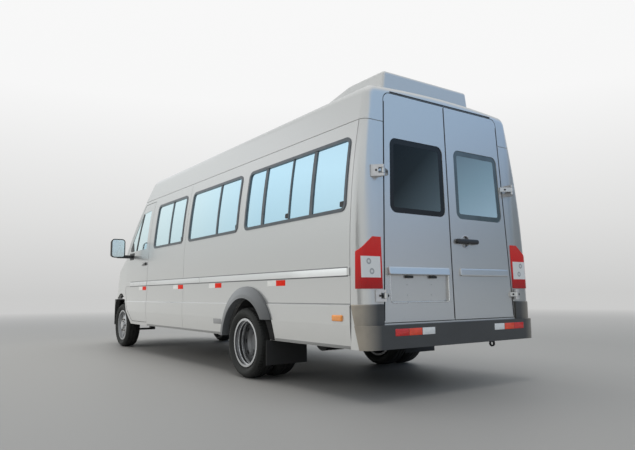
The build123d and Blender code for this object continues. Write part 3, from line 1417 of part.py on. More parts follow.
# Rear axle on leaf springs
AXLE_R = 55.0
SPRING_Y = (465.0, 525.0)
SPRING_HALF = 650.0
SPRING_T = 48.0
SPRING_EYE_Z = 452.0
with BuildPart() as rear_axle:
    with BuildSketch(Plane.XZ.offset(-560)):
        with Locations((RX, TYRE_R)):
            Circle(AXLE_R)
    extrude(amount=1120)
    for side in (1, -1):
        with BuildSketch(Plane.XZ.offset(-side * 556)):
            with Locations((RX, TYRE_R)):
                Circle(150)
        extrude(amount=-side * 90)
        with BuildSketch(Plane.XZ.offset(-side * 640)):
            with Locations((RX, TYRE_R)):
                Circle(REAR_SPINDLE_R)
        extrude(amount=-side * (TWIN_Y + 66 - 640))
        with BuildSketch(Plane.XZ.offset(-side * SPRING_Y[0])):
            with BuildLine():
                spring_z = TYRE_R + AXLE_R + 4
                ThreePointArc(
                    (RX - SPRING_HALF, SPRING_EYE_Z),
                    (RX, spring_z),
                    (RX + SPRING_HALF, SPRING_EYE_Z),
                )
                Line((RX + SPRING_HALF, SPRING_EYE_Z), (RX + SPRING_HALF, SPRING_EYE_Z + 24))
                ThreePointArc(
                    (RX + SPRING_HALF, SPRING_EYE_Z + 24),
                    (RX, spring_z + SPRING_T),
                    (RX - SPRING_HALF, SPRING_EYE_Z + 24),
                )
                Line((RX - SPRING_HALF, SPRING_EYE_Z + 24), (RX - SPRING_HALF, SPRING_EYE_Z))
            make_face()
        extrude(amount=-side * (SPRING_Y[1] - SPRING_Y[0]))
        seat_y = sorted((side * SPRING_Y[0], side * SPRING_Y[1]))
        add(box(RX - 60, RX + 60, *seat_y, TYRE_R + 20, spring_z + 6))
        for eye_x in (RX - SPRING_HALF + 20, RX + SPRING_HALF - 20):
            hanger_y = sorted((side * RAIL_Y[1], side * SPRING_Y[1]))
            add(box(eye_x - 20, eye_x + 20, *hanger_y, SPRING_EYE_Z, RAIL_Z + 60))
    with BuildSketch(Plane.XZ.offset(-120)):
        with Locations((RX, TYRE_R)):
            Circle(125)
    extrude(amount=240)
rear_axle.part.label = "rear_axle"
export_step(rear_axle.part, "parts/rear_axle.step")

# Engine with gearbox and propeller shaft, exhaust beside them
SHAFT_R = 36.0
with BuildPart() as driveline:
    add(box(FX - 40, FX + 470, -260, 260, 430, 960))
    add(box(FX - 600, FX - 60, -140, 140, 390, 590))
    add(box(FX - 62, FX - 38, -140, 140, 432, 590))
    with BuildSketch(Plane.YZ.offset(RX + 120)):
        with Locations((0, 435)):
            Circle(SHAFT_R)
    extrude(amount=FX - 600 - RX - 120)
    add(box(RX + 90, RX + 160, -60, 60, 310, 471))
    add(rear_axle.part, mode=Mode.SUBTRACT)
driveline.part.label = "driveline"
export_step(driveline.part, "parts/driveline.step")

EXHAUST_Y = -270.0
EXHAUST_END_X = RX - 640.0
with BuildPart() as exhaust:
    add(box(RX + 1200, RX + 1900, EXHAUST_Y - 80, EXHAUST_Y + 80, 380, CROSS_Z[0]))
    with BuildSketch(Plane.YZ.offset(EXHAUST_END_X)):
        with Locations((EXHAUST_Y, 450)):
            Circle(28)
    extrude(amount=FX - 140 - EXHAUST_END_X)
exhaust.part.label = "exhaust"
export_step(exhaust.part, "parts/exhaust.step")

with BuildPart() as fuel_tank:
    add(box(PANEL_SEAM_X + 60, PANEL_SEAM_X + 900, 480, 850, 400, FLOOR_Z))
    fillet(fuel_tank.edges().filter_by(Axis.X), 30)
fuel_tank.part.label = "fuel_tank"
export_step(fuel_tank.part, "parts/fuel_tank.step")

# Spare wheel lying under the tail
SPARE_X = RX - 1010.0
SPARE_Z = 440.0
SPARE_RIM_R = 190.0
with BuildPart() as spare_wheel:
    wall = [(r, across) for r, across in tyre_outline()[2:]]
    with BuildSketch(Plane.XZ):
        with BuildLine():
            Polyline(
                (SPARE_X, SPARE_Z - 40),
                (SPARE_X, SPARE_Z - 10),
                (SPARE_X + SPARE_RIM_R, SPARE_Z - 10),
                (SPARE_X + SPARE_RIM_R, SPARE_Z + TYRE_W / 2 - 20),
                *[(SPARE_X + r, SPARE_Z + across) for r, across in wall],
                *[(SPARE_X + r, SPARE_Z - across) for r, across in reversed(wall)],
                (SPARE_X + SPARE_RIM_R, SPARE_Z - TYRE_W / 2 + 20),
                (SPARE_X + SPARE_RIM_R, SPARE_Z - 40),
                close=True,
            )
        make_face()
    revolve(axis=Axis((SPARE_X, 0, 0), (0, 0, 1)))
    add(box(SPARE_X - 40, SPARE_X + 40, -40, 40, SPARE_Z - 20, FLOOR_Z))
spare_wheel.part.label = "spare_wheel"
export_step(spare_wheel.part, "parts/spare_wheel.step")

# Mud flaps behind the twin wheels
FLAP_X = RX - ARCH_R - 20.0
with BuildPart() as mud_flaps:
    for side in (1, -1):
        add(box(FLAP_X, FLAP_X + 8, *sorted((side * 590, side * (WALL_IN_Y - 1))), 150, FLOOR_Z))
        add(box(FLAP_X, FLAP_X + 8, *sorted((side * 590, side * (FLARE_Y - 14))), 150, SILL_Z - 1))
mud_flaps.part.label = "mud_flaps"
export_step(mud_flaps.part, "parts/mud_flaps.step")

# Dashboard with the steering wheel
DASH_Y = 750.0
WHEEL_Y = 420.0
with BuildPart() as dashboard:
    add(
        side_prism(
            [
                (FX - 100, 900),
                (FX - 480, 900),
                (FX - 560, 1040),
                (FX - 540, 1190),
                (FX - 470, 1240),
                (FX - 100, 1240),
            ],
            DASH_Y,
        )
    )
    add(
        curved_front(SCREEN_X - BULK_IN - 0.3, SCREEN_R, 800, 1300, 0, DOOR_X),
        mode=Mode.INTERSECT,
    )
    column = Plane(origin=(FX - 730, WHEEL_Y, 1225), z_dir=(0.78, 0, -0.62))
    with BuildSketch(column):
        Circle(28)
    extrude(amount=260)
    with BuildSketch(column):
        Circle(60)
        Rectangle(20, 380)
        Rectangle(380, 40)
        Circle(200, mode=Mode.INTERSECT)
    extrude(amount=14)
    with BuildPart(mode=Mode.PRIVATE) as hoop:
        with BuildSketch(Plane.XZ):
            with Locations((192, 0)):
                RegularPolygon(16, 8)
        revolve(axis=Axis.Z)
    add(column * hoop.part)
dashboard.part.label = "dashboard"
export_step(dashboard.part, "parts/dashboard.step")

# Seats: pads on pedestals
SEAT_W = 400.0
SEAT_D = 450.0
SEAT_Z = 1000.0
PAD_T = 110.0
BACK_H = 640.0
BACK_T = 100.0
BACK_LEAN = 90.0
CAB_SEATS = [(FX - 1390.0, 430.0), (FX - 1390.0, -150.0), (FX - 1390.0, -560.0)]
ROWS = [RX + 1750.0, RX + 990.0, RX + 230.0, RX - 530.0, RX - 1290.0]
ROW_SEATS = [635.0, 225.0, -635.0]
seat_places = CAB_SEATS + [(row_x, seat_y) for row_x in ROWS for seat_y in ROW_SEATS]
with BuildPart() as seats:
    for seat_x, seat_y in seat_places:
        with BuildPart(mode=Mode.PRIVATE) as seat:
            with BuildSketch(Plane.XZ.offset(-seat_y - SEAT_W / 2)):
                with BuildLine():
                    Polyline(
                        (seat_x, SEAT_Z),
                        (seat_x + SEAT_D, SEAT_Z + 20),
                        (seat_x + SEAT_D, SEAT_Z + PAD_T),
                        (seat_x + BACK_T, SEAT_Z + PAD_T),
                        (seat_x + BACK_T - BACK_LEAN, SEAT_Z + BACK_H),
                        (seat_x - BACK_LEAN, SEAT_Z + BACK_H),
                        close=True,
                    )
                make_face()
            extrude(amount=SEAT_W)
        add(seat.part)
seats.part.label = "seats"
export_step(seats.part, "parts/seats.step")

PEDESTAL = 120.0
with BuildPart() as seat_frames:
    for seat_x, seat_y in seat_places:
        side_y = min(max(seat_y, -HOUSE_Y + 90), HOUSE_Y - 90)
        with BuildPart(mode=Mode.PRIVATE) as leg:
            add(
                box(
                    seat_x + 60,
                    seat_x + 60 + 2 * PEDESTAL,
                    side_y - PEDESTAL / 2,
                    side_y + PEDESTAL / 2,
                    FLOOR_Z + FLOOR_T,
                    SEAT_Z + 60,
                )
            )
            add(seats.part, mode=Mode.SUBTRACT)
        add(leg.part)
seat_frames.part.label = "seat_frames"
export_step(seat_frames.part, "parts/seat_frames.step")
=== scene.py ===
"""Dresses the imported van: finishes, tread, trim, markers, lamps and padded seats.

Metres in the CAD frame: X forward, Y left, Z up, the ground at Z = 0.
"""
import json
import logging
import math
from dataclasses import dataclass
from enum import Enum
from typing import Callable, Dict, Iterable, List, Optional, Sequence, Tuple, Union

import bmesh
import bpy
import numpy as np
from mathutils import Matrix, Vector


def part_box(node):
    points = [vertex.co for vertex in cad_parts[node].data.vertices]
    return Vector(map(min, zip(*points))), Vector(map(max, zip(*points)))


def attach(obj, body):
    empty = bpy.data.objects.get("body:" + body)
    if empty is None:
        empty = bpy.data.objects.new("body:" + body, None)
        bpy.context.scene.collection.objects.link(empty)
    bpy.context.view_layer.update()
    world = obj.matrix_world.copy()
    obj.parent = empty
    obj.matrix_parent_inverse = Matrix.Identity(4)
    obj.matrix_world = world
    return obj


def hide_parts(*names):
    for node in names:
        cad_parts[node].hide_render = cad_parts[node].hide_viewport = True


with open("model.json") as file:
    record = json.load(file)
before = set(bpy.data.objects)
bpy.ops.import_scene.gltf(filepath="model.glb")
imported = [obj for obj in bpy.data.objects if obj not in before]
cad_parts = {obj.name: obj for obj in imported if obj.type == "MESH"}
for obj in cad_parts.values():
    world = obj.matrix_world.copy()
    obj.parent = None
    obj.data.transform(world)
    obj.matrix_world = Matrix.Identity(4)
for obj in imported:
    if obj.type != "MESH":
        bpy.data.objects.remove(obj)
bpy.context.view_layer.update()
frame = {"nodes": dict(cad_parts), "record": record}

LOG = logging.getLogger("van")

Color = Tuple[float, float, float]
Point2 = Tuple[float, float]
Point3 = Tuple[float, float, float]
Span = Tuple[float, float]
Stops = Sequence[Tuple[float, Color]]
Profile = Tuple[Point2, ...]
Shape = Tuple[Sequence[Point2], float]
Place = Callable[[np.ndarray, np.ndarray, np.ndarray], np.ndarray]
Socket = bpy.types.NodeSocket
Value = Union[Socket, float, Color]

REAR_AXLE_X = -1.650
FRONT_AXLE_X = 2.375
AXLE_Z = 0.310


class Side(Enum):
    """The two sides of the van, with the sign of Y."""

    LEFT = 1
    RIGHT = -1

    @property
    def tag(self) -> str:
        """Word used in node and body names."""
        return self.name.lower()

    def corners(self, points: Sequence[Point2]) -> List[Point2]:
        """Corners given for the left side, moved to this one and kept counter-clockwise."""
        moved = [(self.value * a, b) for a, b in points]
        return moved if self is Side.LEFT else moved[::-1]


# Finishes
MIX_SHARE, MIX_LOW, MIX_HIGH, MIX_RESULT = 0, 6, 7, 2  # sockets of the Mix node when it blends colours


class Nodes:
    """Thin helper that lays out the shader nodes of one material or of the world."""

    def __init__(self, owner: Union[bpy.types.Material, bpy.types.World], coordinate: str = "Object") -> None:
        """Switches the owner's nodes on.

        Args:
            owner: material or world.
            coordinate: what its patterns read from Texture Coordinate.
        """
        owner.use_nodes = True
        self.owner = owner
        self.coordinate = coordinate
        self.tree = owner.node_tree
        self.shader = self.tree.nodes.get("Principled BSDF")

    def add(self, kind: str, **settings: object) -> bpy.types.Node:
        """Adds a node.

        Args:
            kind: Blender's name of the node.
            settings: values of its sockets or of its properties.

        Returns:
            The new node.
        """
        node = self.tree.nodes.new(kind)
        for key, value in settings.items():
            if key in node.inputs:
                node.inputs[key].default_value = value
            else:
                setattr(node, key, value)
        return node

    def link(self, source: Socket, target: Socket) -> None:
        """Joins two sockets."""
        self.tree.links.new(source, target)

    def put(self, value: Value, socket: Socket) -> None:
        """Links a socket to another, or sets a number or a colour on it.

        Args:
            value: socket, number or colour.
            socket: where it goes.
        """
        if isinstance(value, Socket):
            self.link(value, socket)
        elif isinstance(value, (int, float)):
            socket.default_value = value
        else:
            socket.default_value = (*value, 1.0)

    def feed(self, name: str, value: Socket) -> None:
        """Links a value to a socket of the shader."""
        self.link(value, self.shader.inputs[name])

    def cover(self, share: Socket, color: Color) -> None:
        """Lays a colour over the shader's own, by a share."""
        base = self.shader.inputs["Base Color"].links[0].from_socket
        self.feed("Base Color", self.mix(share, base, color))

    def place(self) -> Socket:
        """The coordinates that patterns read; Object coordinates are in metres."""
        return self.add("ShaderNodeTexCoord").outputs[self.coordinate]

    def axis(self, name: str) -> Socket:
        """One coordinate as a value.

        Args:
            name: X, Y or Z.

        Returns:
            The value.
        """
        split = self.add("ShaderNodeSeparateXYZ")
        self.link(self.place(), split.inputs["Vector"])
        return split.outputs[name]

    def noise(self, scale: float, detail: float = 3.0) -> Socket:
        """Noise value over the coordinates.

        Args:
            scale: how fine it is, per metre.
            detail: layers of finer noise.

        Returns:
            The value, about 0.3 to 0.7.
        """
        noise = self.add("ShaderNodeTexNoise", Scale=scale, Detail=detail)
        self.link(self.place(), noise.inputs["Vector"])
        return noise.outputs["Fac"]

    def math(self, operation: str, first: Value, second: Value = 0.0) -> Socket:
        """One step of arithmetic on sockets or numbers.

        Args:
            operation: Blender's name of the step.
            first: first value.
            second: second value, where the step has one.

        Returns:
            The result.
        """
        node = self.add("ShaderNodeMath", operation=operation)
        self.put(first, node.inputs[0])
        self.put(second, node.inputs[1])
        return node.outputs[0]

    def times(self, first: Socket, second: Socket) -> Socket:
        """Product of two values."""
        return self.math("MULTIPLY", first, second)

    def vector(self, operation: str, first: Socket, second: Sequence[float] = (0.0, 0.0, 0.0)) -> bpy.types.Node:
        """One step of arithmetic between a vector and a fixed one.

        Args:
            operation: Blender's name of the step.
            first: the vector.
            second: the fixed vector.

        Returns:
            The node, with its outputs Vector and Value.
        """
        node = self.add("ShaderNodeVectorMath", operation=operation)
        self.link(first, node.inputs[0])
        node.inputs[1].default_value = second
        return node

    def folded(self) -> Tuple[Socket, Socket, Socket]:
        """Coordinates that are the same on both sides of the van.

        Returns:
            Distance from the middle plane, height, and both as the vector (0, |y|, z).
        """
        across, height = self.math("ABSOLUTE", self.axis("Y")), self.axis("Z")
        flat = self.add("ShaderNodeCombineXYZ")
        self.link(across, flat.inputs["Y"])
        self.link(height, flat.inputs["Z"])
        return across, height, flat.outputs["Vector"]

    def ramp(self, value: Socket, stops: Stops) -> Socket:
        """Colour ramp over a value.

        Args:
            value: from 0 to 1.
            stops: places on the ramp with their colours.

        Returns:
            The colour.
        """
        node = self.add("ShaderNodeValToRGB")
        elements = node.color_ramp.elements
        while len(elements) < len(stops):
            elements.new(0.5)
        for element, (at, color) in zip(elements, stops):
            element.position = at
            element.color = (*color, 1.0)
        self.link(value, node.inputs["Fac"])
        return node.outputs["Color"]

    def spread(
        self, value: Socket, low: float, high: float, to_low: float = 0.0, to_high: float = 1.0, smooth: bool = False,
    ) -> Socket:
        """Maps a value from one range to another, clamped.

        Args:
            value: what is mapped.
            low: start of its range.
            high: end of its range.
            to_low: result at the start.
            to_high: result at the end.
            smooth: eases both ends.

        Returns:
            The mapped value.
        """
        node = self.add("ShaderNodeMapRange", interpolation_type="SMOOTHSTEP" if smooth else "LINEAR")
        for key, number in zip(("From Min", "From Max", "To Min", "To Max"), (low, high, to_low, to_high)):
            node.inputs[key].default_value = number
        self.link(value, node.inputs["Value"])
        return node.outputs["Result"]

    def mix(self, share: Value, low: Value, high: Value, blend: str = "MIX") -> Socket:
        """Blends two colours.

        Args:
            share: weight of the second colour.
            low: first colour.
            high: second colour.
            blend: Blender's name of the blend.

        Returns:
            The blended colour.
        """
        node = self.add("ShaderNodeMix", data_type="RGBA", blend_type=blend)
        for value, index in ((share, MIX_SHARE), (low, MIX_LOW), (high, MIX_HIGH)):
            self.put(value, node.inputs[index])
        return node.outputs[MIX_RESULT]

    def bump(self, height: Socket, strength: Value, distance: float) -> None:
        """Bumps the shader's normal, on top of an earlier bump.

        Args:
            height: height of the bump.
            strength: share of the bump that shows.
            distance: metres for a height of 1.
        """
        node = self.add("ShaderNodeBump", Distance=distance)
        self.link(height, node.inputs["Height"])
        self.put(strength, node.inputs["Strength"])
        socket = self.shader.inputs["Normal"]
        if socket.is_linked:
            self.link(socket.links[0].from_socket, node.inputs["Normal"])
        self.link(node.outputs["Normal"], socket)

    def ribs(self, pitch: float, strength: float, distance: float = 0.5) -> None:
        """Bumps upright ribs across the van: a triangle wave over Y."""
        self.bump(self.math("PINGPONG", self.axis("Y"), pitch / 2), strength, distance)

    def glow(self, kind: str, color: Socket) -> Socket:
        """A shader that gives off a colour.

        Args:
            kind: Blender's name of the shader.
            color: its colour.

        Returns:
            The shader.
        """
        node = self.add(kind)
        self.link(color, node.inputs["Color"])
        return node.outputs[0]

    def mix_shaders(self, share: Socket, first: Socket, second: Socket) -> Socket:
        """Blend of two shaders by the weight of the second.

        Args:
            share: weight of the second shader.
            first: first shader.
            second: second shader.

        Returns:
            The blended shader.
        """
        node = self.add("ShaderNodeMixShader")
        for socket, target in zip((share, first, second), node.inputs):
            self.link(socket, target)
        return node.outputs[0]


def shade(color: Color, factor: float) -> Color:
    """A colour made darker or lighter."""
    return tuple(min(1.0, max(0.0, c * factor)) for c in color)


def tones(color: Color, steps: Sequence[Point2]) -> Stops:
    """Stops of one colour, from pairs of a place and a factor."""
    return tuple((at, shade(color, factor)) for at, factor in steps)


WHITE: Color = (0.86, 0.86, 0.84)
RED: Color = (0.70, 0.006, 0.005)
DEEP_RED: Color = (0.42, 0.008, 0.008)
AMBER: Color = (0.85, 0.28, 0.03)
PATCH_SPAN: Span = (0.3, 0.7)  # noise values between which a patch turns
GLOSS_SPAN: Span = (0.85, 1.15)  # shares of the roughness on the two kinds of patch
COAT_ROUGHNESS = 0.04
GRAIN_DETAIL = 2.0
TRUE_HEIGHT = 1.0  # bump distance for a height in metres


@dataclass(frozen=True)
class Finish:
    """One surface finish: a principled shader with grain, patchy colour and patchy gloss.

    Attributes:
        name: material name.
        color: base colour, linear.
        roughness: middle of the roughness range.
        metallic: metal share.
        coat: weight of the clear coat.
        grain: height of the fine bump in metres.
        grain_scale: how fine the bump is.
        patch: how far the colour wanders, as a share.
        patch_scale: size of the colour's patches, per metre.
        transmission: share of light let through.
        ior: refractive index.
        sheen: cloth-like sheen weight.
        specular: strength of the plain gloss.
        grain_strength: share of the fine bump that shows.
    """

    name: str
    color: Color
    roughness: float = 0.5
    metallic: float = 0.0
    coat: float = 0.0
    grain: float = 0.0002
    grain_scale: float = 300.0
    patch: float = 0.06
    patch_scale: float = 3.0
    transmission: float = 0.0
    ior: float = 1.5
    sheen: float = 0.0
    specular: float = 0.5
    grain_strength: float = 0.5

    def constants(self, nodes: Nodes) -> None:
        """Sets what is the same all over the surface.

        Args:
            nodes: the material's nodes.
        """
        values = {
            "Metallic": self.metallic, "Coat Weight": self.coat, "Coat Roughness": COAT_ROUGHNESS,
            "Transmission Weight": self.transmission, "IOR": self.ior, "Sheen Weight": self.sheen,
            "Specular IOR Level": self.specular, "Base Color": self.color, "Roughness": self.roughness,
        }
        for name, value in values.items():
            nodes.put(value, nodes.shader.inputs[name])

    def patches(self, span: Span) -> Stops:
        """Stops from the darker to the lighter tone of the colour."""
        return tones(self.color, tuple(zip(span, (1 - self.patch, 1 + self.patch))))

    def paint(self, nodes: Nodes) -> None:
        """Adds the varying colour, gloss and bump.

        Args:
            nodes: the material's nodes.
        """
        wander = nodes.noise(self.patch_scale)
        nodes.feed("Base Color", nodes.ramp(wander, self.patches(PATCH_SPAN)))
        smooth, dull = (min(1.0, self.roughness * share) for share in GLOSS_SPAN)
        nodes.feed("Roughness", nodes.spread(wander, *PATCH_SPAN, smooth, dull))
        if self.grain:
            nodes.bump(nodes.noise(self.grain_scale, GRAIN_DETAIL), self.grain_strength, self.grain)

    def make(self) -> bpy.types.Material:
        """Builds the material.

        Returns:
            The new material.
        """
        nodes = Nodes(bpy.data.materials.new(self.name))
        self.constants(nodes)
        self.paint(nodes)
        nodes.owner.diffuse_color = (*self.color, 1.0)
        return nodes.owner


@dataclass(frozen=True)
class RoadPaint(Finish):
    """Metallic paint with a film of road dust that thins out upward."""

    grain_strength: float = 0.3
    dust: Color = (0.66, 0.65, 0.61)
    dust_z: Span = (0.33, 0.66)
    film: float = 0.30
    film_patch: Span = (0.6, 1.0)
    full_film: float = 0.34  # film at which the paint is dullest
    dulling: float = 0.18
    flake_scale: float = 1400.0
    flake_span: Span = (0.35, 0.65)
    turn_y: float = 0.745  # where the rear pillars' round shoulder starts
    turn_r: float = 0.235
    turn_end: float = 0.0004  # square of the height at which it ends
    face_x: Span = (-3.2505, -3.2255)  # stations, with the lean taken out, over which it fades
    lip_z: Span = (2.12, 2.24)

    def paint(self, nodes: Nodes) -> None:
        """Mixes dust into the lower body and lays a fine flake over the colour.

        Args:
            nodes: the material's nodes.
        """
        base = nodes.ramp(nodes.noise(self.flake_scale, 1.0), self.patches(self.flake_span))
        height = nodes.spread(nodes.axis("Z"), *self.dust_z, self.film, 0.0)
        film = nodes.times(height, nodes.spread(nodes.noise(self.patch_scale), *PATCH_SPAN, *self.film_patch))
        nodes.feed("Base Color", nodes.mix(film, base, self.dust))
        gloss = nodes.spread(film, 0.0, self.full_film, self.roughness, self.roughness + self.dulling)
        nodes.feed("Roughness", gloss)
        nodes.bump(self.turn(nodes), self.rear_only(nodes), TRUE_HEIGHT)
        nodes.bump(nodes.noise(self.grain_scale, GRAIN_DETAIL), self.grain_strength, self.grain)

    def turn(self, nodes: Nodes) -> Socket:
        """Height of a round shoulder on the rear pillars: a circle's drop past turn_y.

        Args:
            nodes: the material's nodes.

        Returns:
            Height in metres.
        """
        away = nodes.math("MAXIMUM", nodes.math("SUBTRACT", nodes.math("ABSOLUTE", nodes.axis("Y")), self.turn_y))
        square = nodes.math("SUBTRACT", self.turn_r ** 2, nodes.times(away, away))
        return nodes.math("SQRT", nodes.math("MAXIMUM", square, self.turn_end))

    def rear_only(self, nodes: Nodes) -> Socket:
        """Where the shoulder shows.

        Args:
            nodes: the material's nodes.

        Returns:
            1 on the leaning rear face below the roof's lip, 0 elsewhere.
        """
        upright = nodes.math("SUBTRACT", nodes.axis("X"), nodes.math("MULTIPLY", nodes.axis("Z"), SKIN.rear_lean))
        face = nodes.spread(upright, *self.face_x, 1.0, 0.0)
        return nodes.times(face, nodes.spread(nodes.axis("Z"), *self.lip_z, 1.0, 0.0))


@dataclass(frozen=True)
class SideDust(Finish):
    """Moulded plastic, lighter on the rear parts that turn toward the sides: partly dry dust, partly a painted sheen
    of the side light.
    """

    dust: Color = (0.34, 0.30, 0.245)
    reach: Span = (0.800, 0.930)  # distances from the middle plane over which the dust and the painted sheen come in
    behind_x: Span = (-3.0, -2.0)
    dust_scale: float = 9.0
    dust_span: Span = (0.25, 0.6)
    thin: float = 0.75

    def paint(self, nodes: Nodes) -> None:
        """Dust and painted sheen by the distance from the middle plane, broken up by patches.

        Args:
            nodes: the material's nodes.
        """
        super().paint(nodes)
        behind = nodes.spread(nodes.axis("X"), *self.behind_x, 1.0, 0.0)
        outward = nodes.times(nodes.spread(nodes.math("ABSOLUTE", nodes.axis("Y")), *self.reach), behind)
        patches = nodes.spread(nodes.noise(self.dust_scale), *self.dust_span, self.thin, 1.0)
        nodes.cover(nodes.times(outward, patches), self.dust)


@dataclass(frozen=True)
class HeadLens(Finish):
    """Ribbed lens over two round reflectors, with an amber part at its outer end."""

    bowls: Tuple[Point3, ...] = ((0.545, 0.799, 0.082), (0.712, 0.812, 0.072))  # |y|, z and radius
    rings: Stops = (
        (0.0, WHITE), (0.14, WHITE), (0.19, (0.16, 0.17, 0.18)), (0.26, (0.50, 0.52, 0.54)),
        (0.80, (0.74, 0.76, 0.78)), (0.88, (0.10, 0.105, 0.11)), (1.0, (0.12, 0.125, 0.13)),
    )
    rim: float = 0.97
    amber_y: Span = (0.800, 0.806)
    rib_pitch: float = 0.022
    rib_strength: float = 0.2

    def paint(self, nodes: Nodes) -> None:
        """Rings by the distance from each reflector's middle in (|y|, z), amber past amber_y.

        Args:
            nodes: the material's nodes.
        """
        across, _, point = nodes.folded()
        color = nodes.mix(nodes.spread(across, *self.amber_y), self.color, AMBER)
        for y, z, radius in self.bowls:
            gap = nodes.vector("DISTANCE", point, (0.0, y, z)).outputs["Value"]
            inside = nodes.spread(gap, radius * self.rim, radius, 1.0, 0.0)
            color = nodes.mix(inside, color, nodes.ramp(nodes.spread(gap, 0.0, radius), self.rings))
        nodes.feed("Base Color", color)
        nodes.ribs(self.rib_pitch, self.rib_strength)


@dataclass(frozen=True)
class TailLens(Finish):
    """Red lens with a clear window in the middle and two bulbs behind it."""

    clear: Color = (0.80, 0.79, 0.76)
    window_y: Span = (0.750, 0.927)
    window_z: Span = (0.848, 1.000)
    edge: float = 0.003
    bulbs: Tuple[Point2, ...] = ((0.858, 0.963), (0.832, 0.893))
    bulb_r: float = 0.024
    rings: Stops = ((0.0, (0.95, 0.95, 0.93)), (0.45, (0.55, 0.54, 0.52)), (0.75, (0.33, 0.33, 0.33)))
    lens_z: Span = (0.771, 1.140)
    reds: Stops = ((0.0, DEEP_RED), (0.5, RED), (1.0, (0.74, 0.03, 0.02)))
    rib_pitch: float = 0.014
    rib_strength: float = 0.3

    def within(self, nodes: Nodes, value: Socket, span: Span) -> Socket:
        """Marks a span.

        Args:
            nodes: the material's nodes.
            value: what is tested.
            span: its ends.

        Returns:
            1 inside the span, falling to 0 over the edge at both ends.
        """
        low, high = span
        rise = nodes.spread(value, low, low + self.edge)
        return nodes.times(rise, nodes.spread(value, high - self.edge, high, 1.0, 0.0))

    def paint(self, nodes: Nodes) -> None:
        """Clear inside a rectangle in (|y|, z), red outside it, darker rings round the bulbs.

        Args:
            nodes: the material's nodes.
        """
        across, height, point = nodes.folded()
        gaps = [nodes.vector("DISTANCE", point, (0.0, y, z)).outputs["Value"] for y, z in self.bulbs]
        rings = (*self.rings, (1.0, self.clear))
        window, *others = (nodes.ramp(nodes.spread(gap, 0.0, self.bulb_r), rings) for gap in gaps)
        for glow in others:
            window = nodes.mix(1.0, window, glow, "DARKEN")
        mask = nodes.times(self.within(nodes, across, self.window_y), self.within(nodes, height, self.window_z))
        red = nodes.ramp(nodes.spread(height, *self.lens_z), self.reds)
        nodes.feed("Base Color", nodes.mix(mask, red, window))
        nodes.ribs(self.rib_pitch, self.rib_strength)


@dataclass(frozen=True)
class Tint(Finish):
    """A colour that runs from one point to another: a tint on the windscreen, painted reflection on the other panes,
    painted shade on the flare, painted highlight on the strip, painted highlights and shade in the rear rims.
    """

    start: Point3 = (0.0, 0.0, 0.0)
    end: Point3 = (0.0, 0.0, 1.0)
    tints: Stops = ()
    roll_scale: float = 2.2
    roll_strength: float = 0.06
    roll: float = 0.01

    def paint(self, nodes: Nodes) -> None:
        """Colour by the way along the line from start to end, and a faint roll of the sheet.

        Args:
            nodes: the material's nodes.
        """
        run = Vector(self.end) - Vector(self.start)
        offset = nodes.vector("SUBTRACT", nodes.place(), self.start).outputs["Vector"]
        along = nodes.vector("DOT_PRODUCT", offset, run / run.length_squared).outputs["Value"]
        nodes.feed("Base Color", nodes.ramp(along, self.tints))
        nodes.bump(nodes.noise(self.roll_scale, 1.0), self.roll_strength, self.roll)


@dataclass(frozen=True)
class ScreenGlass(Tint):
    """Windscreen glass with a black printed border inside the opening's four edges."""

    foot: Point2 = (0.826, 1.348)
    head: Point2 = (0.772, 1.950)
    border: float = 0.042
    fade: float = 0.003
    black: Color = (0.004, 0.004, 0.004)

    def paint(self, nodes: Nodes) -> None:
        """The tint, and black where the nearest edge of the trapezium in (|y|, z) is within the border.

        Args:
            nodes: the material's nodes.
        """
        super().paint(nodes)
        across, height, _ = nodes.folded()
        edge = nodes.spread(height, self.foot[1], self.head[1], self.foot[0], self.head[0])
        low = nodes.math("SUBTRACT", height, self.foot[1])
        high = nodes.math("SUBTRACT", self.head[1], height)
        near = nodes.math("MINIMUM", nodes.math("MINIMUM", low, high), nodes.math("SUBTRACT", edge, across))
        nodes.cover(nodes.spread(near, self.border, self.border + self.fade, 1.0, 0.0), self.black)


@dataclass(frozen=True)
class Cloth(Finish):
    """Woven seat cloth: two crossed waves for the threads and a broad stripe."""

    stripe: Color = (0.085, 0.098, 0.14)
    stripe_scale: float = 2.4
    stripe_span: Span = (0.45, 0.6)
    thread_scale: float = 320.0
    thread_bend: float = 0.6
    weave: float = 0.0006
    weave_strength: float = 0.4

    @staticmethod
    def wave(nodes: Nodes, scale: float, bend: float, direction: str) -> Socket:
        """Bands across one coordinate.

        Args:
            nodes: the material's nodes.
            scale: how close the bands are.
            bend: how far they wander.
            direction: X or Y.

        Returns:
            A wave from 0 to 1.
        """
        bands = nodes.add("ShaderNodeTexWave", Scale=scale, Distortion=bend, bands_direction=direction)
        nodes.link(nodes.place(), bands.inputs["Vector"])
        return bands.outputs["Fac"]

    def paint(self, nodes: Nodes) -> None:
        """Weave bump and stripe colour.

        Args:
            nodes: the material's nodes.
        """
        threads = [self.wave(nodes, self.thread_scale, self.thread_bend, direction) for direction in "XY"]
        stripes = self.wave(nodes, self.stripe_scale, 0.0, "Y")
        nodes.feed("Base Color", nodes.ramp(stripes, tuple(zip(self.stripe_span, (self.color, self.stripe)))))
        nodes.bump(nodes.times(*threads), self.weave_strength, self.weave)


# Painted reflections on the panes: pale blue sky along the side windows, near black on the left rear pane, pale
# blue-grey on the right one.
SKY_REFLECTION_PANES = (
    (0.0, (0.80, 0.97, 1.0)), (0.4, (0.70, 0.92, 1.0)), (0.75, (0.55, 0.82, 0.97)), (1.0, (0.56, 0.81, 0.95)),
)
DARK_REFLECTION_PANE = ((0.0, (0.001, 0.001, 0.001)), (0.45, (0.012, 0.018, 0.019)), (1.0, (0.125, 0.170, 0.190)))
PALE_REFLECTION_PANE = ((0.0, (0.18, 0.25, 0.28)), (0.5, (0.34, 0.49, 0.55)), (1.0, (0.56, 0.76, 0.86)))
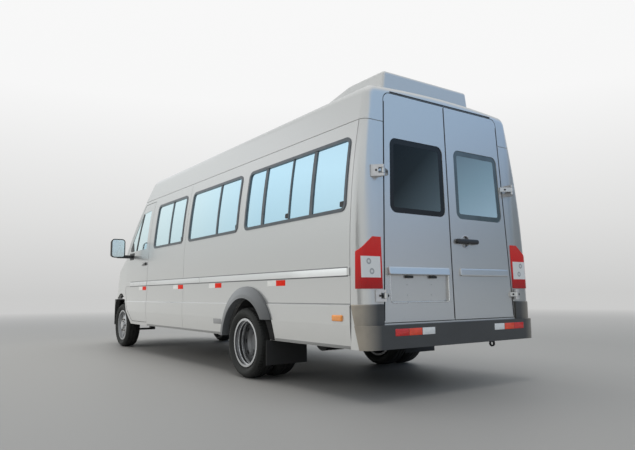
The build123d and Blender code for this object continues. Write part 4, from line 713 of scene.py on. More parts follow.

# Base tones from which tones() makes the painted shade along the flare, the painted highlight along the strip and the
# painted highlights and shade in the rear rims.
FLARE: Color = (0.25, 0.26, 0.27)
STRIP: Color = (0.76, 0.775, 0.775)
RIM: Color = (0.50, 0.51, 0.52)
# Painted highlights and shade in the rear rims' barrels: bright and dark rings by depth, dark toward the dish.
RIM_LIGHT_STEPS: Tuple[Point2, ...] = (
    (0.0, 1.15), (0.03, 1.15), (0.06, 0.34), (0.12, 0.40), (0.16, 1.50), (0.38, 1.35), (0.42, 0.26), (0.60, 0.30),
    (0.66, 1.40), (0.84, 1.20), (0.88, 0.30), (1.0, 0.38),
)

# Finishes of the record's slots. In each row: material name, colour, roughness, metal share, coat,
# grain, grain scale, patch, patch scale.
FINISHES: Dict[str, Finish] = {
    "body_paint": RoadPaint("silver_paint", (0.60, 0.605, 0.60), 0.28, 0.76, 0.35, 0.00003, 900.0, 0.03, 1.4),
    "fairing_paint": RoadPaint("fairing_silver", (0.57, 0.575, 0.57), 0.36, 0.62, 0.25, 0.00005, 700.0, 0.03, 1.4),
    "hinge_metal": Finish("hinge_steel", (0.56, 0.56, 0.57), 0.34, 0.85, 0.0, 0.0001, 500.0, 0.08, 40.0),
    "window_rubber": Finish("window_frame", (0.095, 0.108, 0.120), 0.32, 0.45, 0.0, 0.0001, 700.0, 0.15, 12.0),
    # painted sky reflection: the side windows run from pale blue at the cab to deeper blue at the rear
    "tinted_glass": Tint(
        "window_glass", (0.70, 0.89, 0.97), 0.05, 0.88, 0.0, transmission=0.10, ior=1.45,
        start=(1.60, 0.0, 1.30), end=(-3.10, 0.0, 1.60), tints=SKY_REFLECTION_PANES,
    ),
    "lamp_red": TailLens("tail_lens", RED, 0.16, 0.0, 0.2, specular=0.3),
    "lamp_clear": HeadLens("head_lens", (0.30, 0.315, 0.33), 0.10, 0.45, 0.5, specular=0.5),
    # lighter toward the sides at the rear: dust, and a painted sheen of the side light
    "grey_plastic": SideDust("grey_plastic", (0.058, 0.058, 0.057), 0.45, 0.0, 0.0, 0.0002, 420.0, 0.10, 5.0),
    "black_plastic": Finish("black_plastic", (0.018, 0.018, 0.019), 0.42, 0.0, 0.0, 0.0002, 520.0, 0.2, 9.0),
    "flap_rubber": Finish("flap_rubber", (0.016, 0.016, 0.016), 0.72, 0.0, 0.0, 0.0006, 160.0, 0.35, 7.0),
    "underbody": Finish("underbody_sealer", (0.055, 0.055, 0.055), 0.8, 0.0, 0.0, 0.0008, 140.0, 0.3, 4.0),
    "chassis_paint": Finish("chassis_black", (0.022, 0.022, 0.023), 0.5, 0.0, 0.1, 0.0003, 220.0, 0.3, 6.0),
    "cast_metal": Finish("cast_iron", (0.10, 0.10, 0.105), 0.62, 0.6, 0.0, 0.0008, 260.0, 0.3, 9.0),
    "steel": Finish("dull_steel", (0.30, 0.28, 0.26), 0.46, 0.85, 0.0, 0.0003, 300.0, 0.3, 8.0),
    "tyre_rubber": Finish(
        "tyre_rubber", (0.017, 0.018, 0.017), 0.66, 0.0, 0.0, 0.0004, 340.0, 0.3, 14.0, specular=0.4,
    ),
    "wheel_paint": Finish("wheel_silver", (0.50, 0.51, 0.52), 0.34, 0.85, 0.2, 0.00002, 420.0, 0.08, 18.0),
    "cab_plastic": Finish("cab_plastic", (0.055, 0.056, 0.06), 0.6, 0.0, 0.0, 0.0005, 260.0, 0.1, 6.0),
    "seat_cloth": Cloth("seat_cloth", (0.050, 0.062, 0.10), 0.9, 0.0, 0.0, sheen=0.4),
}

# Finishes of single nodes and of new pieces, in the same order of values.
EXTRA: Dict[str, Finish] = {
    # painted reflections on the rear door panes: near black on the left one, pale blue-grey on the right one
    "dark_glass": Tint(
        "dark_glass", (0.02, 0.026, 0.026), 0.04, 0.0, 0.0, transmission=0.05, specular=0.18,
        start=(-3.2, 0.62, 1.90), end=(-3.2, 0.10, 1.36), tints=DARK_REFLECTION_PANE,
    ),
    "pale_glass": Tint(
        "pale_glass", (0.4, 0.5, 0.54), 0.05, 0.1, 0.4, transmission=0.05,
        start=(-3.2, -0.20, 1.92), end=(-3.2, -0.50, 1.34), tints=PALE_REFLECTION_PANE,
    ),
    "screen_glass": ScreenGlass(
        "screen_glass", (0.72, 0.82, 0.83), 0.02, 0.0, 0.0, transmission=0.95, ior=1.35,
        start=(0.0, 0.0, 1.25), end=(0.0, 0.0, 1.90),
        tints=((0.0, (0.78, 0.86, 0.86)), (0.85, (0.74, 0.84, 0.86)), (1.0, (0.30, 0.48, 0.58))),
    ),
    # painted shade along the flare: lightest a little behind its front end, darkest at its rear end
    "flare_grey": Tint(
        "flare_grey", (0.20, 0.21, 0.22), 0.40, 0.25, 0.1, start=(-1.15, 0.0, 0.0), end=(-2.15, 0.0, 0.0),
        tints=tones(FLARE, ((0.0, 0.45), (0.28, 1.0), (0.55, 0.72), (1.0, 0.20))),
    ),
    # painted highlight along the rub strip: lighter than the moulding, brightest at its rear end
    "strip_trim": Tint(
        "strip_trim", (0.80, 0.81, 0.80), 0.30, 0.40, 0.3, start=(-3.13, 0.0, 0.0), end=(-1.90, 0.0, 0.0),
        tints=tones(STRIP, ((0.0, 1.22), (0.45, 1.14), (0.62, 0.95), (1.0, 0.90))),
    ),
    # painted shadow: dark lines beside the rub strip and along the step, where the moulding and the step throw shade
    "strip_edge": Finish("strip_edge", (0.21, 0.215, 0.22), 0.55, 0.0, 0.0, 0.0002, 420.0, 0.1, 6.0, specular=0.2),
    # painted shade on the sill's lower fold, which faces down and away from the light
    "sill_grey": Finish("sill_grey", (0.24, 0.242, 0.238), 0.5, 0.1, 0.1, 0.0002, 420.0, 0.08, 3.0, specular=0.3),
    "arch_rubber": Finish(
        "arch_rubber", (0.012, 0.012, 0.012), 0.75, 0.0, 0.0, 0.0004, 160.0, 0.3, 7.0, specular=0.2,
    ),
    # the rolled edges are lighter than the rim, as a painted highlight
    "rim_edge": Finish("rolled_rim_edge", (0.72, 0.73, 0.74), 0.26, 0.85, 0.2, 0.0, 10.0, 0.05, 18.0),
    "bolt_dark": Finish("dark_bolt", (0.035, 0.034, 0.033), 0.45, 0.6, 0.0, 0.0002, 420.0, 0.2, 30.0),
    "seal": Finish("door_seal", (0.016, 0.016, 0.017), 0.55, 0.0, 0.0, 0.0002, 420.0, 0.2, 12.0),
    # printed band of the right rear pane, lightened as a painted reflection like its pane
    "frit_pale": Finish("pale_window_band", (0.085, 0.118, 0.130), 0.12, 0.1, 0.4, 0.0, 10.0, 0.2, 8.0),
    "frit": Finish("window_band", (0.010, 0.011, 0.012), 0.16, 0.0, 0.0, 0.0, 10.0, 0.2, 8.0, specular=0.3),
    "red_sticker": Finish(
        "red_reflector", (0.76, 0.020, 0.004), 0.50, 0.0, 0.0, 0.0002, 260.0, 0.12, 60.0, specular=0.1,
    ),
    "white_sticker": Finish("white_reflector", (0.74, 0.74, 0.72), 0.40, 0.0, 0.0, 0.0002, 260.0, 0.05, 60.0),
    "orange_lens": Finish("orange_lens", (0.80, 0.055, 0.015), 0.12, 0.0, 0.5, 0.0006, 90.0, 0.1, 30.0),
    "red_lens": Finish("red_lens", (0.62, 0.010, 0.008), 0.1, 0.0, 0.5, 0.0006, 90.0, 0.1, 30.0),
    "amber_lens": Finish("amber_lens", (0.86, 0.30, 0.04), 0.1, 0.0, 0.8, 0.0006, 90.0, 0.1, 30.0),
    "film": Finish("stone_film", (0.27, 0.275, 0.28), 0.4, 0.1, 0.2, 0.0003, 300.0, 0.15, 14.0),
    # painted highlights and shade, ring by ring, along the depth of the rear rims
    **{
        f"rear_rim_{side.tag}": Tint(
            f"rear_rim_{side.tag}", RIM, 0.32, 0.85, 0.2,
            start=(0.0, side.value * 0.973, 0.0), end=(0.0, side.value * 0.866, 0.0),
            tints=tones(RIM, RIM_LIGHT_STEPS),
        )
        for side in Side
    },
    # the mirror's pale blue is a painted reflection of the sky
    "mirror_glass": Finish("mirror_glass", (0.72, 0.84, 0.88), 0.30, 0.35, 0.3, 0.0, 10.0, 0.01, 3.0),
    # painted highlight on the lip round the plate's recess, lighter than the paint around it
    "bright_trim": Finish("bright_trim", (0.72, 0.725, 0.715), 0.26, 0.72, 0.3, 0.0, 10.0, 0.02, 5.0),
}

# Record slots of the extra finishes; any other finish is named after its slot.
SLOTS: Dict[str, str] = {
    "rim_edge": "wheel_paint", "bolt_dark": "hinge_metal", "film": "grey_plastic", "arch_rubber": "black_plastic",
    **dict.fromkeys(("strip_trim", "sill_grey", "bright_trim"), "body_paint"),
    **dict.fromkeys(("strip_edge", "seal", "frit", "frit_pale"), "window_rubber"),
    **dict.fromkeys(("red_sticker", "red_lens", "orange_lens", "amber_lens"), "lamp_red"),
    **dict.fromkeys(("white_sticker", "mirror_glass"), "lamp_clear"),
}


class Library:
    """Makes each material once and hands it out by name."""

    def __init__(self) -> None:
        """Starts with no material made."""
        self.made: Dict[str, bpy.types.Material] = {}

    def get(self, name: str) -> bpy.types.Material:
        """Material of a record slot or an extra finish."""
        if name not in self.made:
            self.made[name] = (FINISHES.get(name) or EXTRA[name]).make()
        return self.made[name]

    def dress(self, piece: bpy.types.Object, finish: str, body: str) -> None:
        """Gives a new piece its material and body.

        Args:
            piece: the new object.
            finish: name of its finish.
            body: body that it rides on.
        """
        slot = SLOTS.get(finish, finish)
        piece.data.materials.append(self.get(finish))
        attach(piece, body)
        LOG.info("%s: %s on %s", piece.name, finish, body)


LIBRARY = Library()


# Surfaces
SMALLEST_CORNER = 0.0004
MERGE_DISTANCE = 1e-6


def mesh_object(name: str, verts: np.ndarray, faces: List[Sequence[int]], sharp: float = 35.0) -> bpy.types.Object:
    """Makes a mesh object with smooth faces and sharp edges over an angle.

    Args:
        name: object name.
        verts: array (n, 3) in metres.
        faces: corner indices of each face.
        sharp: angle in degrees over which an edge stays sharp.

    Returns:
        The object, linked to the scene.
    """
    mesh = bpy.data.meshes.new(name)
    mesh.from_pydata(verts.reshape(-1, 3).tolist(), [], faces)
    work = bmesh.new()
    work.from_mesh(mesh)
    bmesh.ops.remove_doubles(work, verts=work.verts, dist=MERGE_DISTANCE)
    bmesh.ops.recalc_face_normals(work, faces=work.faces)
    work.to_mesh(mesh)
    work.free()
    mesh.shade_smooth()
    mesh.set_sharp_from_angle(angle=math.radians(sharp))
    piece = bpy.data.objects.new(name, mesh)
    bpy.context.scene.collection.objects.link(piece)
    return piece


def grid_faces(rows: int, columns: int, wrap: bool) -> np.ndarray:
    """Quads between neighbouring points of a grid.

    Args:
        rows: points along the grid.
        columns: points across it.
        wrap: joins the last column to the first.

    Returns:
        Array (n, 4) of point indices.
    """
    index = np.arange(rows * columns).reshape(rows, columns)
    right = np.roll(index, -1, axis=1)
    quads = np.stack([index[:-1], right[:-1], right[1:], index[1:]], axis=-1)
    return (quads if wrap else quads[:, :-1]).reshape(-1, 4)


def rounded(points: Sequence[Point2], radius: float, inset: float, count: int = 7) -> np.ndarray:
    """Outline of a convex polygon with round corners, taken in by inset.

    Each edge moves in by inset, neighbours meet in a new corner, and an arc of the
    remaining radius touches both edges there.

    Args:
        points: corners in counter-clockwise order.
        radius: corner radius of the outline at inset 0.
        inset: how far the outline is taken in.
        count: points on each corner's arc.

    Returns:
        Array (corners * count, 2).
    """
    corners = np.asarray(points, float)
    along = np.roll(corners, -1, axis=0) - corners
    along /= np.linalg.norm(along, axis=1, keepdims=True)
    normal = np.stack([-along[:, 1], along[:, 0]], axis=1)
    before, normal_before = np.roll(along, 1, axis=0), np.roll(normal, 1, axis=0)
    keep = max(radius - inset, SMALLEST_CORNER)
    reach = inset + keep
    cross = before[:, 0] * along[:, 1] - before[:, 1] * along[:, 0]
    bisect = (normal + normal_before) / (1 + np.sum(normal * normal_before, axis=1))[:, None]
    centres = corners + bisect * reach
    start = np.arctan2(-normal_before[:, 1], -normal_before[:, 0])
    turn = np.arctan2(cross, np.sum(before * along, axis=1))
    angle = start[:, None] + turn[:, None] * np.linspace(0, 1, count)[None, :]
    ring = centres[:, None, :] + keep * np.stack([np.cos(angle), np.sin(angle)], axis=-1)
    return ring.reshape(-1, 2)


def rectangle(centre: Point2, width: float, height: float) -> List[Point2]:
    """Corners of an upright rectangle, counter-clockwise.

    Args:
        centre: its middle.
        width: size along the first coordinate.
        height: size along the second.

    Returns:
        The four corners.
    """
    a, b = centre
    w, h = width / 2, height / 2
    return [(a - w, b - h), (a + w, b - h), (a + w, b + h), (a - w, b + h)]


def polygon(centre: Point2, radius: float, sides: int, turn: float = 0.0) -> List[Point2]:
    """Corners of a regular polygon, counter-clockwise."""
    angle = turn + np.arange(sides) * 2 * math.pi / sides
    return list(zip(centre[0] + radius * np.cos(angle), centre[1] + radius * np.sin(angle)))


def trim(
    name: str,
    finish: str,
    body: str,
    shapes: Sequence[Shape],
    profile: Profile,
    place: Place,
    capped: bool = True,
    count: int = 7,
) -> None:
    """Raised piece, dressed: an edge profile of (inset, height) carried around one or more outlines.

    The point at profile step i and outline step j is the outline taken in by the
    profile's inset, lifted by its height along the surface that place describes.

    Args:
        name: object name.
        finish: name of its finish.
        body: body that it rides on.
        shapes: (corners, corner radius) of each outline.
        profile: (inset, height) pairs from the foot to the inner edge.
        place: maps the outline's two coordinates and a height to points.
        capped: closes the inner edge with a flat face.
        count: points on each corner.
    """
    insets, heights = np.array(profile).T
    blocks, faces, base = [], [], 0
    for corners, radius in shapes:
        flat = np.stack([rounded(corners, radius, inset, count) for inset in insets])
        rows, columns = flat.shape[:2]
        height = np.broadcast_to(heights[:, None], (rows, columns))
        blocks.append(place(flat[..., 0], flat[..., 1], height).reshape(-1, 3))
        faces += (grid_faces(rows, columns, True) + base).tolist()
        if capped:
            faces.append((np.arange(columns) + base + (rows - 1) * columns).tolist())
        base += rows * columns
    LIBRARY.dress(mesh_object(name, np.concatenate(blocks), faces), finish, body)


def eased(sunk: float, wall: float, ease: float, top: float) -> Profile:
    """Profile of a thin plate: up from its sunk foot to the wall's height, then in by ease to the top."""
    return (0.0, -sunk), (0.0, wall), (ease, top)


def runs(spans: Iterable[Span], middle: float, tall: float, corner: float = 0.0008) -> List[Shape]:
    """One upright rectangle for each span along the van, all at one height."""
    return [(rectangle(((a + b) / 2, middle), b - a, tall), corner) for a, b in spans]


@dataclass(frozen=True)
class Plate:
    """Rectangle with round corners."""

    centre: Point2
    width: float
    height: float
    corner: float

    def shape(self, along: float = 0.0) -> Shape:
        """The outline, moved along the first coordinate."""
        a, b = self.centre
        return rectangle((a + along, b), self.width, self.height), self.corner


def on_plane(x: float) -> Place:
    """Places (y, z, height) on an upright plane that faces rearward."""
    return lambda a, b, h: np.stack([x - h, a, b], axis=-1)


def on_disc(y: float) -> Place:
    """Places (x, z, height) on a wheel's face, the height pointing away from the middle plane."""
    return lambda a, b, h: np.stack([a, y + math.copysign(1.0, y) * h, b], axis=-1)


@dataclass(frozen=True)
class Skin:
    """The van's outer surface as functions of two coordinates, the same curves as the solids."""

    door_x: float = 1.054
    bow_r: float = 14.0
    arc_r: float = 5.5044
    band_y: float = 0.957
    belt_z: float = 0.935
    steps: Tuple[Point2, ...] = (
        (0.355, 0.950), (0.520, 0.966), (0.652, 0.966), (0.661, 0.957),
        (0.863, 0.957), (0.868, 0.964), (0.915, 0.964), (0.920, 0.957),
    )
    rear_face_x: float = -3.255
    rear_foot_z: float = 0.533
    rear_lean: float = 50.0 / 1720.0
    bumper_x: float = -3.310
    glass_depth: float = 0.006

    def side_y(self, x: np.ndarray, z: np.ndarray) -> np.ndarray:
        """Half width: straight steps below the belt, one arc above it, all bowed in along the cab.

        Args:
            x: stations.
            z: heights.

        Returns:
            Distance of the side from the middle plane.
        """
        steps_z, steps_y = np.array((*self.steps, (self.belt_z, self.band_y))).T
        low = np.interp(z, steps_z, steps_y)
        rise = np.maximum(z - self.belt_z, 0.0)
        high = self.band_y - self.arc_r + np.sqrt(self.arc_r ** 2 - rise ** 2)
        half = np.where(z > self.belt_z, high, low)
        ahead = np.maximum(x - self.door_x, 0.0)
        return np.sqrt((self.bow_r + half) ** 2 - ahead ** 2) - self.bow_r

    def rear_x(self, z: np.ndarray) -> np.ndarray:
        """Station of the leaning rear face."""
        return self.rear_face_x + (z - self.rear_foot_z) * self.rear_lean

    def on_side(self, side: Side, level: Optional[float] = None) -> Place:
        """Places (x, z, height) on one side of the body.

        Args:
            side: side of the van.
            level: height at which the half width is read, for a piece with an upright face.

        Returns:
            The function that places points.
        """
        def place(a: np.ndarray, b: np.ndarray, h: np.ndarray) -> np.ndarray:
            """Points on the side, lifted outward."""
            z = b if level is None else np.full_like(b, level)
            return np.stack([a, side.value * (self.side_y(a, z) + h), b], axis=-1)

        return place

    def on_rear(self) -> Place:
        """Places (y, z, height) on the rear face."""
        return lambda a, b, h: np.stack([self.rear_x(b) - h, a, b], axis=-1)


SKIN = Skin()


# Sub-assemblies
@dataclass
class Shell:
    """The CAD nodes, which keep their shape and get their finishes."""

    # Nodes with a finish of their own: painted reflections on the rear panes, painted shade on the flares, painted
    # highlights and shade in the rear rims, and the windscreen's tint.
    special: Tuple[Tuple[str, str], ...] = (
        ("rear_glass_left", "dark_glass"), ("rear_glass_right", "pale_glass"), ("windscreen", "screen_glass"),
        ("rear_flares", "flare_grey"), ("rear_wheels_left", "rear_rim_left"), ("rear_wheels_right", "rear_rim_right"),
    )

    def build(self) -> None:
        """Sets one material on every node, by its record slot or by name."""
        finishes = {entry["node"]: entry["material_slot"] for entry in frame["record"]["subparts"]}
        finishes.update(self.special)
        for name, node in frame["nodes"].items():
            for holder in node.material_slots:
                holder.material = LIBRARY.get(finishes[name])
            LOG.info("%s: %s", name, finishes[name])


@dataclass
class Tyre:
    """One road tyre as a surface of revolution with grooves and shoulder blocks."""

    x: float
    y: float
    radius: float = 0.310
    width: float = 0.195
    bead_r: float = 0.2165
    bead_y: float = 0.061
    wall_steps: int = 9
    bulge: float = 0.78
    wall_end: Point2 = (0.018, 0.016)  # in from the width, down from the tread
    band_steps: Tuple[int, ...] = (3, 4)  # steps of the raised band on a wall
    band_rise: float = 0.0012
    shoulder: Tuple[Point2, ...] = ((0.022, 0.010), (0.028, 0.006), (0.036, 0.0035))
    shoulder_tread: Tuple[float, ...] = (0.6, 1.0, 1.0)
    crown: float = 0.002
    crown_in: float = 0.046  # in from the width to the crowned tread's edge
    blocks: int = 66
    cell: Tuple[float, ...] = (0.0, 0.03, 0.17, 0.20, 0.60)  # steps within one block, as shares
    cell_slot: Tuple[float, ...] = (0.0, 1.0, 1.0, 0.0, 0.0)  # 1 inside the slot between blocks
    slot_share: float = 0.8  # depth of a slot as a share of a groove's
    grooves: Tuple[float, ...] = (-0.040, 0.0, 0.040)
    groove_w: float = 0.0085
    groove_depth: float = 0.0075
    lip_out: float = 0.0008
    lip_in: float = 0.0012

    def profile(self) -> Tuple[np.ndarray, np.ndarray, np.ndarray]:
        """Outline from bead to bead: a bulged wall, a rounded shoulder and a crowned tread, then mirrored.

        Returns:
            Radius, offset across, and tread weight (1 on the tread) at each step.
        """
        half = self.width / 2
        end_in, end_down = self.wall_end
        turn = np.linspace(0, 1, self.wall_steps)
        wall_y = np.minimum(self.bead_y + (half - self.bead_y) * np.sin(turn * math.pi * self.bulge), half)
        wall_y[-1] = half - end_in
        wall_r = self.bead_r + (self.radius - end_down - self.bead_r) * turn
        wall_r += self.band_rise * np.isin(np.arange(self.wall_steps), self.band_steps)
        edge_in, edge_down = np.array(self.shoulder).T
        steps, lip = [], self.groove_w / 2
        for centre in sorted((g for g in self.grooves if g >= 0), reverse=True):
            steps += [centre + lip + self.lip_out, centre + lip - self.lip_in]
            if centre > 0:
                steps += [centre - lip + self.lip_in, centre - lip - self.lip_out]
        inner_y = np.array(steps)
        inner_r = self.radius - self.crown * (inner_y / (half - self.crown_in)) ** 2
        y = np.concatenate([wall_y, half - edge_in, inner_y])
        r = np.concatenate([wall_r, self.radius - edge_down, inner_r])
        tread = np.concatenate([np.zeros(self.wall_steps), self.shoulder_tread, np.ones(len(inner_y))])
        return np.concatenate([r, r[::-1]]), np.concatenate([y, -y[::-1]]), np.concatenate([tread, tread[::-1]])

    def surface(self, base: int) -> Tuple[np.ndarray, np.ndarray]:
        """Points r(angle, step): the profile turned about the axle, cut by grooves.

        The radius drops by the groove depth inside each round groove and, on the
        shoulders, inside slots that repeat once a block.

        Args:
            base: index of this tyre's first point in the piece.

        Returns:
            Points (n, 3) and faces.
        """
        r, y, tread = self.profile()
        angle = (np.arange(self.blocks)[:, None] + np.array(self.cell)).ravel() * 2 * math.pi / self.blocks
        in_slot = np.tile(self.cell_slot, self.blocks)
        gaps = np.abs(y[:, None] - np.array(self.grooves)).min(axis=1)
        round_cut = (gaps < self.groove_w / 2) & (tread == 1.0)
        shoulder = (np.abs(y) > max(self.grooves) + self.groove_w / 2) * tread
        cut = np.maximum(round_cut[:, None] * 1.0, self.slot_share * shoulder[:, None] * in_slot)
        radius = r[:, None] - self.groove_depth * cut
        across = np.broadcast_to(self.y + y[:, None], radius.shape)
        points = np.stack([self.x + radius * np.cos(angle), across, AXLE_Z + radius * np.sin(angle)], axis=-1)
        return points.reshape(-1, 3), grid_faces(*radius.shape, True) + base


@dataclass
class WheelSet:
    """Tyres, nuts and rolled edges of one wheel body."""

    node: str
    body: str
    x: float
    tyre_ys: Tuple[float, ...]
    nut_y: float
    nut_circle: float
    nut_r: float = 0.0125
    nuts: int = 6
    nut_edge: Profile = ((-0.003, -0.001), (-0.003, 0.003), (0.0, 0.003), (0.0, 0.013), (0.002, 0.015))
    steps: Tuple[float, ...] = ()
    step_r: float = 0.1965
    step_w: float = 0.009
    step_rise: float = 0.006
    step_sides: int = 72

    @classmethod
    def front(cls, side: Side) -> "WheelSet":
        """The single wheel of a front knuckle."""
        s = side.value
        return cls(
            f"front_tyre_{side.tag}", f"front_wheel_{side.tag}", FRONT_AXLE_X,
            tyre_ys=(s * 0.785,), nut_y=s * 0.8435, nut_circle=0.088,
        )

    @classmethod
    def rear(cls, side: Side) -> "WheelSet":
        """The twin wheels of one end of the rear axle."""
        s = side.value
        return cls(
            f"rear_tyres_{side.tag}", f"rear_wheels_{side.tag}", REAR_AXLE_X,
            tyre_ys=(s * 0.898, s * 0.666), nut_y=s * 0.795, nut_circle=0.098, steps=(s * 0.932, s * 0.896),
        )

    def rolled_edges(self) -> None:
        """Rolled edges inside the barrel: a small closed trapezium turned about the axle at each step."""
        half, rise = self.step_w / 2, self.step_rise
        circle = [(polygon((self.x, AXLE_Z), self.step_r, self.step_sides), 0.0005)]
        section = ((0.0, half), (rise, half * 0.5), (rise, -half * 0.5), (0.0, -half), (0.0, half))
        for index, y in enumerate(self.steps):
            name = f"{self.body}_rim_step_{index}"
            # their finish is lighter than the rim, as a painted highlight
            trim(name, "rim_edge", self.body, circle, section, on_disc(y), capped=False, count=2)

    def tread(self) -> None:
        """All tyres of the body as one piece, in place of the plain solids."""
        points, faces, base = [], [], 0
        for across in self.tyre_ys:
            verts, quads = Tyre(self.x, across).surface(base)
            points.append(verts)
            faces += quads.tolist()
            base += len(verts)
        tyres = mesh_object(f"{self.node}_tread", np.concatenate(points), faces, 28.0)
        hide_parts(self.node)
        LIBRARY.dress(tyres, "tyre_rubber", self.body)

    def build(self) -> None:
        """Builds the rolled edges of a deep rim, the tyres and the nuts."""
        self.rolled_edges()
        self.tread()
        spots = polygon((self.x, AXLE_Z), self.nut_circle, self.nuts)
        shapes = [(polygon(spot, self.nut_r, 6), 0.001) for spot in spots]
        trim(f"{self.body}_nuts", "steel", self.body, shapes, self.nut_edge, on_disc(self.nut_y), count=2)


@dataclass
class Markers:
    """Reflective stickers, side lamps and bumper markers."""

    sticker: Plate = Plate((0.0, 0.830), 0.145, 0.047, 0.002)
    door_spot: float = 1.161
    body_spots: Tuple[float, ...] = (-0.071, -1.051, -2.235)
    name_shift: int = 4000  # keeps the number in a sticker's name above 0
    marker: Plate = Plate((-3.021, 0.566), 0.117, 0.045, 0.010)
    film: Plate = Plate((-1.0505, 0.480), 0.181, 0.050, 0.008)
    bumper_left: Span = (0.681, 0.282)  # outer and inner end of the row
    bumper_right: Span = (-0.777, -0.397)
    bumper_z: float = 0.465
    bumper_h: float = 0.050
    bumper_gap: float = 0.004
    bumper_finishes: Tuple[str, ...] = ("red_lens", "orange_lens", "white_sticker")
    lift: Profile = eased(sunk=0.001, wall=0.0008, ease=0.0015, top=0.0012)
    flush: Profile = eased(sunk=0.004, wall=0.0006, ease=0.001, top=0.001)
    dome: Profile = ((0.0, -0.002), (0.0, 0.006), (0.002, 0.010), (0.006, 0.012), (0.014, 0.013))

    def stickers(self, side: Side) -> None:
        """A red sticker at each spot along a side, and a white one ahead of it.

        Args:
            side: side of the van.
        """
        spots = [(self.door_spot, f"front_door_{side.tag}")] + [(x, "body") for x in self.body_spots]
        for x, body in spots:
            tag = f"{side.tag}_{round(x * 1000) + self.name_shift}"
            for tone, at in (("red", x), ("white", x + self.sticker.width)):
                shape = self.sticker.shape(at)
                trim(f"{tone}_{tag}", f"{tone}_sticker", body, [shape], self.lift, SKIN.on_side(side))

    def side_lamps(self, side: Side) -> None:
        """Amber marker ahead of the rear bumper and a film patch ahead of the rear arch.

        Args:
            side: side of the van.
        """
        place = SKIN.on_side(side)
        trim(f"marker_{side.tag}", "amber_lens", "body", [self.marker.shape()], self.dome, place)
        trim(f"film_{side.tag}", "film", "body", [self.film.shape()], self.lift, place)

    def bumper(self, side: Side) -> None:
        """Red lamp, orange reflector and white sticker on the rear bumper.

        Args:
            side: side of the van.
        """
        outer, inner = self.bumper_left if side is Side.LEFT else self.bumper_right
        step = (inner - outer) / len(self.bumper_finishes)
        width = abs(step) - self.bumper_gap
        for index, finish in enumerate(self.bumper_finishes):
            plate = Plate((outer + step * (index + 0.5), self.bumper_z), width, self.bumper_h, 0.003)
            name = f"bumper_{side.tag}_{index}"
            trim(name, finish, "body", [plate.shape()], self.flush, on_plane(SKIN.bumper_x))

    def build(self) -> None:
        """Builds the markers of both sides."""
        for side in Side:
            self.stickers(side)
            self.side_lamps(side)
            self.bumper(side)


